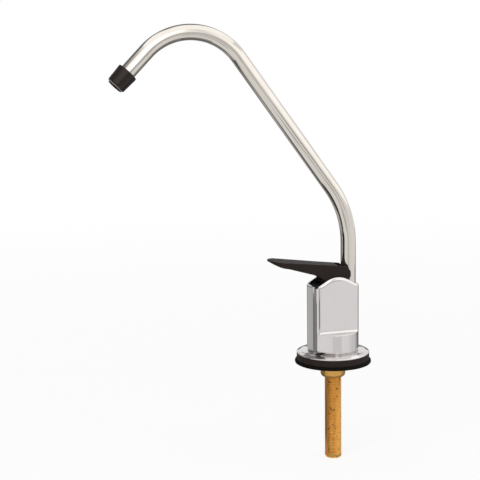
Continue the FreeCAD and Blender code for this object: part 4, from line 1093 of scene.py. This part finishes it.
def seen_directly(tree):
    """1 for rays from the camera, from a reflection or through glass, and 0 for all others."""
    path = add_node(tree, "ShaderNodeLightPath")
    total = path.outputs["Is Camera Ray"]
    for name in ("Is Glossy Ray", "Is Transmission Ray"):
        total = add_node(tree, "ShaderNodeMath", {"operation": "MAXIMUM"},
                         {0: total, 1: path.outputs[name]}).outputs[0]
    return total


FLOOR_HALF, FLOOR_GAP_MM = 4.0, 0.05
floor_z = (SHANK_END - FLOOR_GAP_MM) * MM
print("floor at", round(floor_z / MM, 2), "mm")

# %% Floor
OWN_LIGHT_NEAR, OWN_LIGHT_FAR, FADE_FROM, FADE_TO = 0.86, 1.0, 0.25, 1.2
SQUARE = [(-1, -1), (1, -1), (1, 1), (-1, 1)]
floor_mesh = bpy.data.meshes.new("floor")
floor_mesh.from_pydata([(FLOOR_HALF * x, FLOOR_HALF * y, floor_z) for x, y in SQUARE], [],
                       [(0, 1, 2, 3)])
floor = add_object("floor", floor_mesh)
floor_paint = bpy.data.materials.new("white_paper_floor")
tree = empty_tree(floor_paint)
paper = add_node(tree, "ShaderNodeBsdfDiffuse", inputs={"Color": (0.92, 0.92, 0.92, 1)})
glow = add_node(tree, "ShaderNodeEmission", inputs={"Color": (1, 1, 1, 1), "Strength": 1.0})
spot = add_node(tree, "ShaderNodeTexCoord").outputs["Object"]
away = add_node(tree, "ShaderNodeVectorMath", {"operation": "LENGTH"}, {0: spot}).outputs["Value"]
own_light = add_node(tree, "ShaderNodeMapRange", inputs={
    "Value": away, "From Min": FADE_FROM, "From Max": FADE_TO,
    "To Min": OWN_LIGHT_NEAR, "To Max": OWN_LIGHT_FAR,
}).outputs["Result"]
share = add_node(tree, "ShaderNodeMath", {"operation": "MULTIPLY"},
                 {0: seen_directly(tree), 1: own_light}).outputs[0]
both = add_node(tree, "ShaderNodeMixShader", inputs={
    "Fac": share, 1: paper.outputs[0], 2: glow.outputs[0],
})
add_node(tree, "ShaderNodeOutputMaterial", inputs={"Surface": both.outputs[0]})
floor_mesh.materials.append(floor_paint)
print("floor's side:", 2 * FLOOR_HALF, "m")

# %% [markdown]
# The world is plain white to the camera and to mirrors, and a little less bright as a lamp, so that
# pale surfaces keep their own colour and don't clip to white.

# %% World
WORLD_LIGHT = 0.62
world = bpy.data.worlds.new("white_studio")
bpy.context.scene.world = world
tree = empty_tree(world)
level = add_node(tree, "ShaderNodeMapRange", inputs={
    "Value": seen_directly(tree), "To Min": WORLD_LIGHT, "To Max": 1.0,
}).outputs["Result"]
sky = add_node(tree, "ShaderNodeBackground", inputs={"Color": (1, 1, 1, 1), "Strength": level})
add_node(tree, "ShaderNodeOutputWorld", inputs={"Surface": sky.outputs[0]})
print("world:", world.name)

# %% [markdown]
# ## Lamps
# One large soft lamp from the front and above gives the shadow and the shading, and a weaker one
# from the other side opens it up. Neither shows in the chrome: its reflections are drawn by cards.

# %% Lamps
LAMP_TARGET = Vector((0, -0.03, 0.06))


def soft_lamp(name, place, size, watts):
    """A square lamp that points at the faucet and shows in no mirror."""
    light = bpy.data.lights.new(name, "AREA")
    light.size = size
    light.energy = watts
    lamp = add_object(name, light)
    lamp.location = place
    aim = LAMP_TARGET - Vector(place)
    lamp.rotation_euler = aim.to_track_quat("-Z", "Y").to_euler()
    lamp.visible_glossy = False
    lamp.visible_camera = False
    return lamp


key = soft_lamp("key_lamp", (0.75, -0.85, 1.1), 0.9, 9.0)
fill_lamp = soft_lamp("fill_lamp", (0.6, 1.0, 0.7), 0.9, 2.5)
print("lamps:", key.name, fill_lamp.name)

# %% [markdown]
# ## Reflection cards
# Bright chrome shows nothing of its own: it shows the studio. Photographers stand white, grey and
# black cards round it to draw its bands. These cards do that. They are seen only by mirror rays, so
# they change no light on the object. Each standing card is a strip of a ring round the faucet, with
# a brightness of its own and soft edges. The softness comes from a position that its mesh stores.

# %% What every card needs
def finish_card(name, mesh, brightness, soft_edges=()):
    """Let a card glow, fade at its edges where asked, and be seen by mirror rays alone."""
    paint = bpy.data.materials.new(name)
    tree = empty_tree(paint)
    glow = add_node(tree, "ShaderNodeEmission", inputs={"Strength": brightness}).outputs[0]
    if soft_edges:
        spot = add_node(tree, "ShaderNodeAttribute", {"attribute_name": "on_card"})
        split = add_node(tree, "ShaderNodeSeparateXYZ", inputs={"Vector": spot.outputs["Vector"]})
        opaque = 1.0
        for axis, width in zip("XY", soft_edges):
            inward = add_node(tree, "ShaderNodeMath", {"operation": "PINGPONG"},
                              {0: split.outputs[axis], 1: 0.5}).outputs[0]
            edge = add_node(tree, "ShaderNodeMapRange", {"interpolation_type": "SMOOTHSTEP"},
                            {"Value": inward, "From Max": width}).outputs["Result"]
            opaque = add_node(tree, "ShaderNodeMath", {"operation": "MULTIPLY"},
                              {0: opaque, 1: edge}).outputs[0]
        clear = add_node(tree, "ShaderNodeBsdfTransparent").outputs[0]
        glow = add_node(tree, "ShaderNodeMixShader", inputs={
            "Fac": opaque, 1: clear, 2: glow,
        }).outputs[0]
    add_node(tree, "ShaderNodeOutputMaterial", inputs={"Surface": glow})
    mesh.materials.append(paint)
    board = add_object(name, mesh)
    board.visible_camera = False
    board.visible_diffuse = False
    board.visible_transmission = False
    board.visible_volume_scatter = False
    board.visible_shadow = False
    print("card:", name)


camera_deg = math.degrees(math.atan2(camera_place.y, camera_place.x))
print("the camera stands at", round(camera_deg), "degrees")

# %% [markdown]
# A standing card is set by two compass angles, seen from above with +X at 0 and -Y at -90, then its
# distance, its two heights and its brightness. The camera stands at -21 degrees, so an upright wall
# that faces the angle n mirrors the card at 2 n + 21. The round front, at -90, mirrors -159.

# %% Standing cards
CARD_STEPS = 16


def card(name, from_deg, to_deg, distance, low, high, brightness, soft=0.15, soft_up=0.001):
    """A standing curved card. Its soft edges are shares of its width and of its height."""
    verts, faces, spots_on_card = [], [], []
    for k in range(CARD_STEPS + 1):
        angle = math.radians(from_deg + (to_deg - from_deg) * k / CARD_STEPS)
        for height, up in ((low, 0.0), (high, 1.0)):
            verts.append((distance * math.cos(angle), distance * math.sin(angle), height))
            spots_on_card += [k / CARD_STEPS, up, 0.0]
    for k in range(CARD_STEPS):
        faces.append((2 * k, 2 * k + 2, 2 * k + 3, 2 * k + 1))
    mesh = bpy.data.meshes.new(name)
    mesh.from_pydata(verts, [], faces)
    on_card = mesh.attributes.new("on_card", "FLOAT_VECTOR", "POINT")
    on_card.data.foreach_set("vector", spots_on_card)
    finish_card(name, mesh, brightness, (soft, soft_up))


card("dark_card_left_back", -208, -168, 0.25, floor_z, 0.012, 0.34, 0.05)
card("grey_card_left_low", -170, -115, 0.252, floor_z, 0.012, 0.58, 0.05)
card("grey_card_left_high", -174, -115, 0.26, 0.012, 0.12, 0.3, 0.05)
card("dark_card_left", -115, -90, 0.24, floor_z, 0.009, 0.3, 0.4)
card("black_card_left", -112, -74, 0.241, 0.009, 0.075, 0.02, 0.06)
card("black_card_front", -108, -76, 0.5, -0.02, 0.5, 0.02, 0.06)
card("low_card_front", -38, 10, 0.28, -0.040, 0.004, 0.3, 0.15)
card("drum_card_front", -23, 19, 0.27, floor_z, -0.041, 0.84, 0.05)
card("drum_card_right", 40, 128, 0.27, floor_z, -0.041, 0.78, 0.5)
card("camera_card_low", -32, -4, 0.8, floor_z, 0.02, 0.72, 0.25)
card("camera_card_middle", -30, -3, 0.2, 0.004, 0.055, 0.72, 0.25)
card("camera_card_high", -30, -3, 0.2, 0.112, 0.205, 0.7, 0.25)
card("dark_strip_right", -6, 26, 0.6, 0.0, 0.075, 0.3, 0.2)
card("grey_card_left_top", -172, -62, 0.53, 0.31, 0.78, 0.2, 0.12, 0.25)
card("dark_card_foot", -84, -8, 0.27, 0.105, 0.2, 0.02, 0.12, 0.2)
card("bright_card_front", -44, 14, 0.95, 0.18, 1.08, 2.0, 0.25, 0.12)
card("bright_card_right", 14, 100, 0.95, 0.18, 0.8, 1.5, 0.1, 0.12)
card("dark_card_right", 102, 124, 0.4, floor_z, 0.06, 0.6, 0.3)
card("dark_card_behind_middle", 140, 180, 0.3, 0.125, 0.2, 0.15, 0.25)
card("dark_card_behind_high", 150, 224, 0.3, 0.2, 0.9, 0.28, 0.15)
card("dark_card_behind_low", 128, 184, 0.3, floor_z, 0.06, 0.3, 0.15)

# %% [markdown]
# Walls that lean back, and the rings on the counter, mirror what is above and below them. A large
# softbox hangs over the faucet, and three cloths lie on the floor.

# %% Lying cards
def level_card(name, centre_x, centre_y, half_x, half_y, height, brightness):
    """A card that lies flat, either over the faucet as a softbox or on the floor as a cloth."""
    mesh = bpy.data.meshes.new(name)
    corners = [(centre_x + half_x * x, centre_y + half_y * y, height) for x, y in SQUARE]
    mesh.from_pydata(corners, [], [(0, 1, 2, 3)])
    finish_card(name, mesh, brightness)


level_card("softbox_overhead", 0.0, 0.0, 1.1, 1.1, 1.1, 1.45)
level_card("dark_cloth_behind", -0.545, 0.1, 0.525, 0.6, floor_z + 0.0005, 0.16)
level_card("grey_cloth_front", 0.02, -0.03, 0.05, 0.09, floor_z + 0.001, 0.42)
level_card("dark_cloth_right", -0.02, 0.14, 0.10, 0.11, floor_z + 0.001, 0.3)
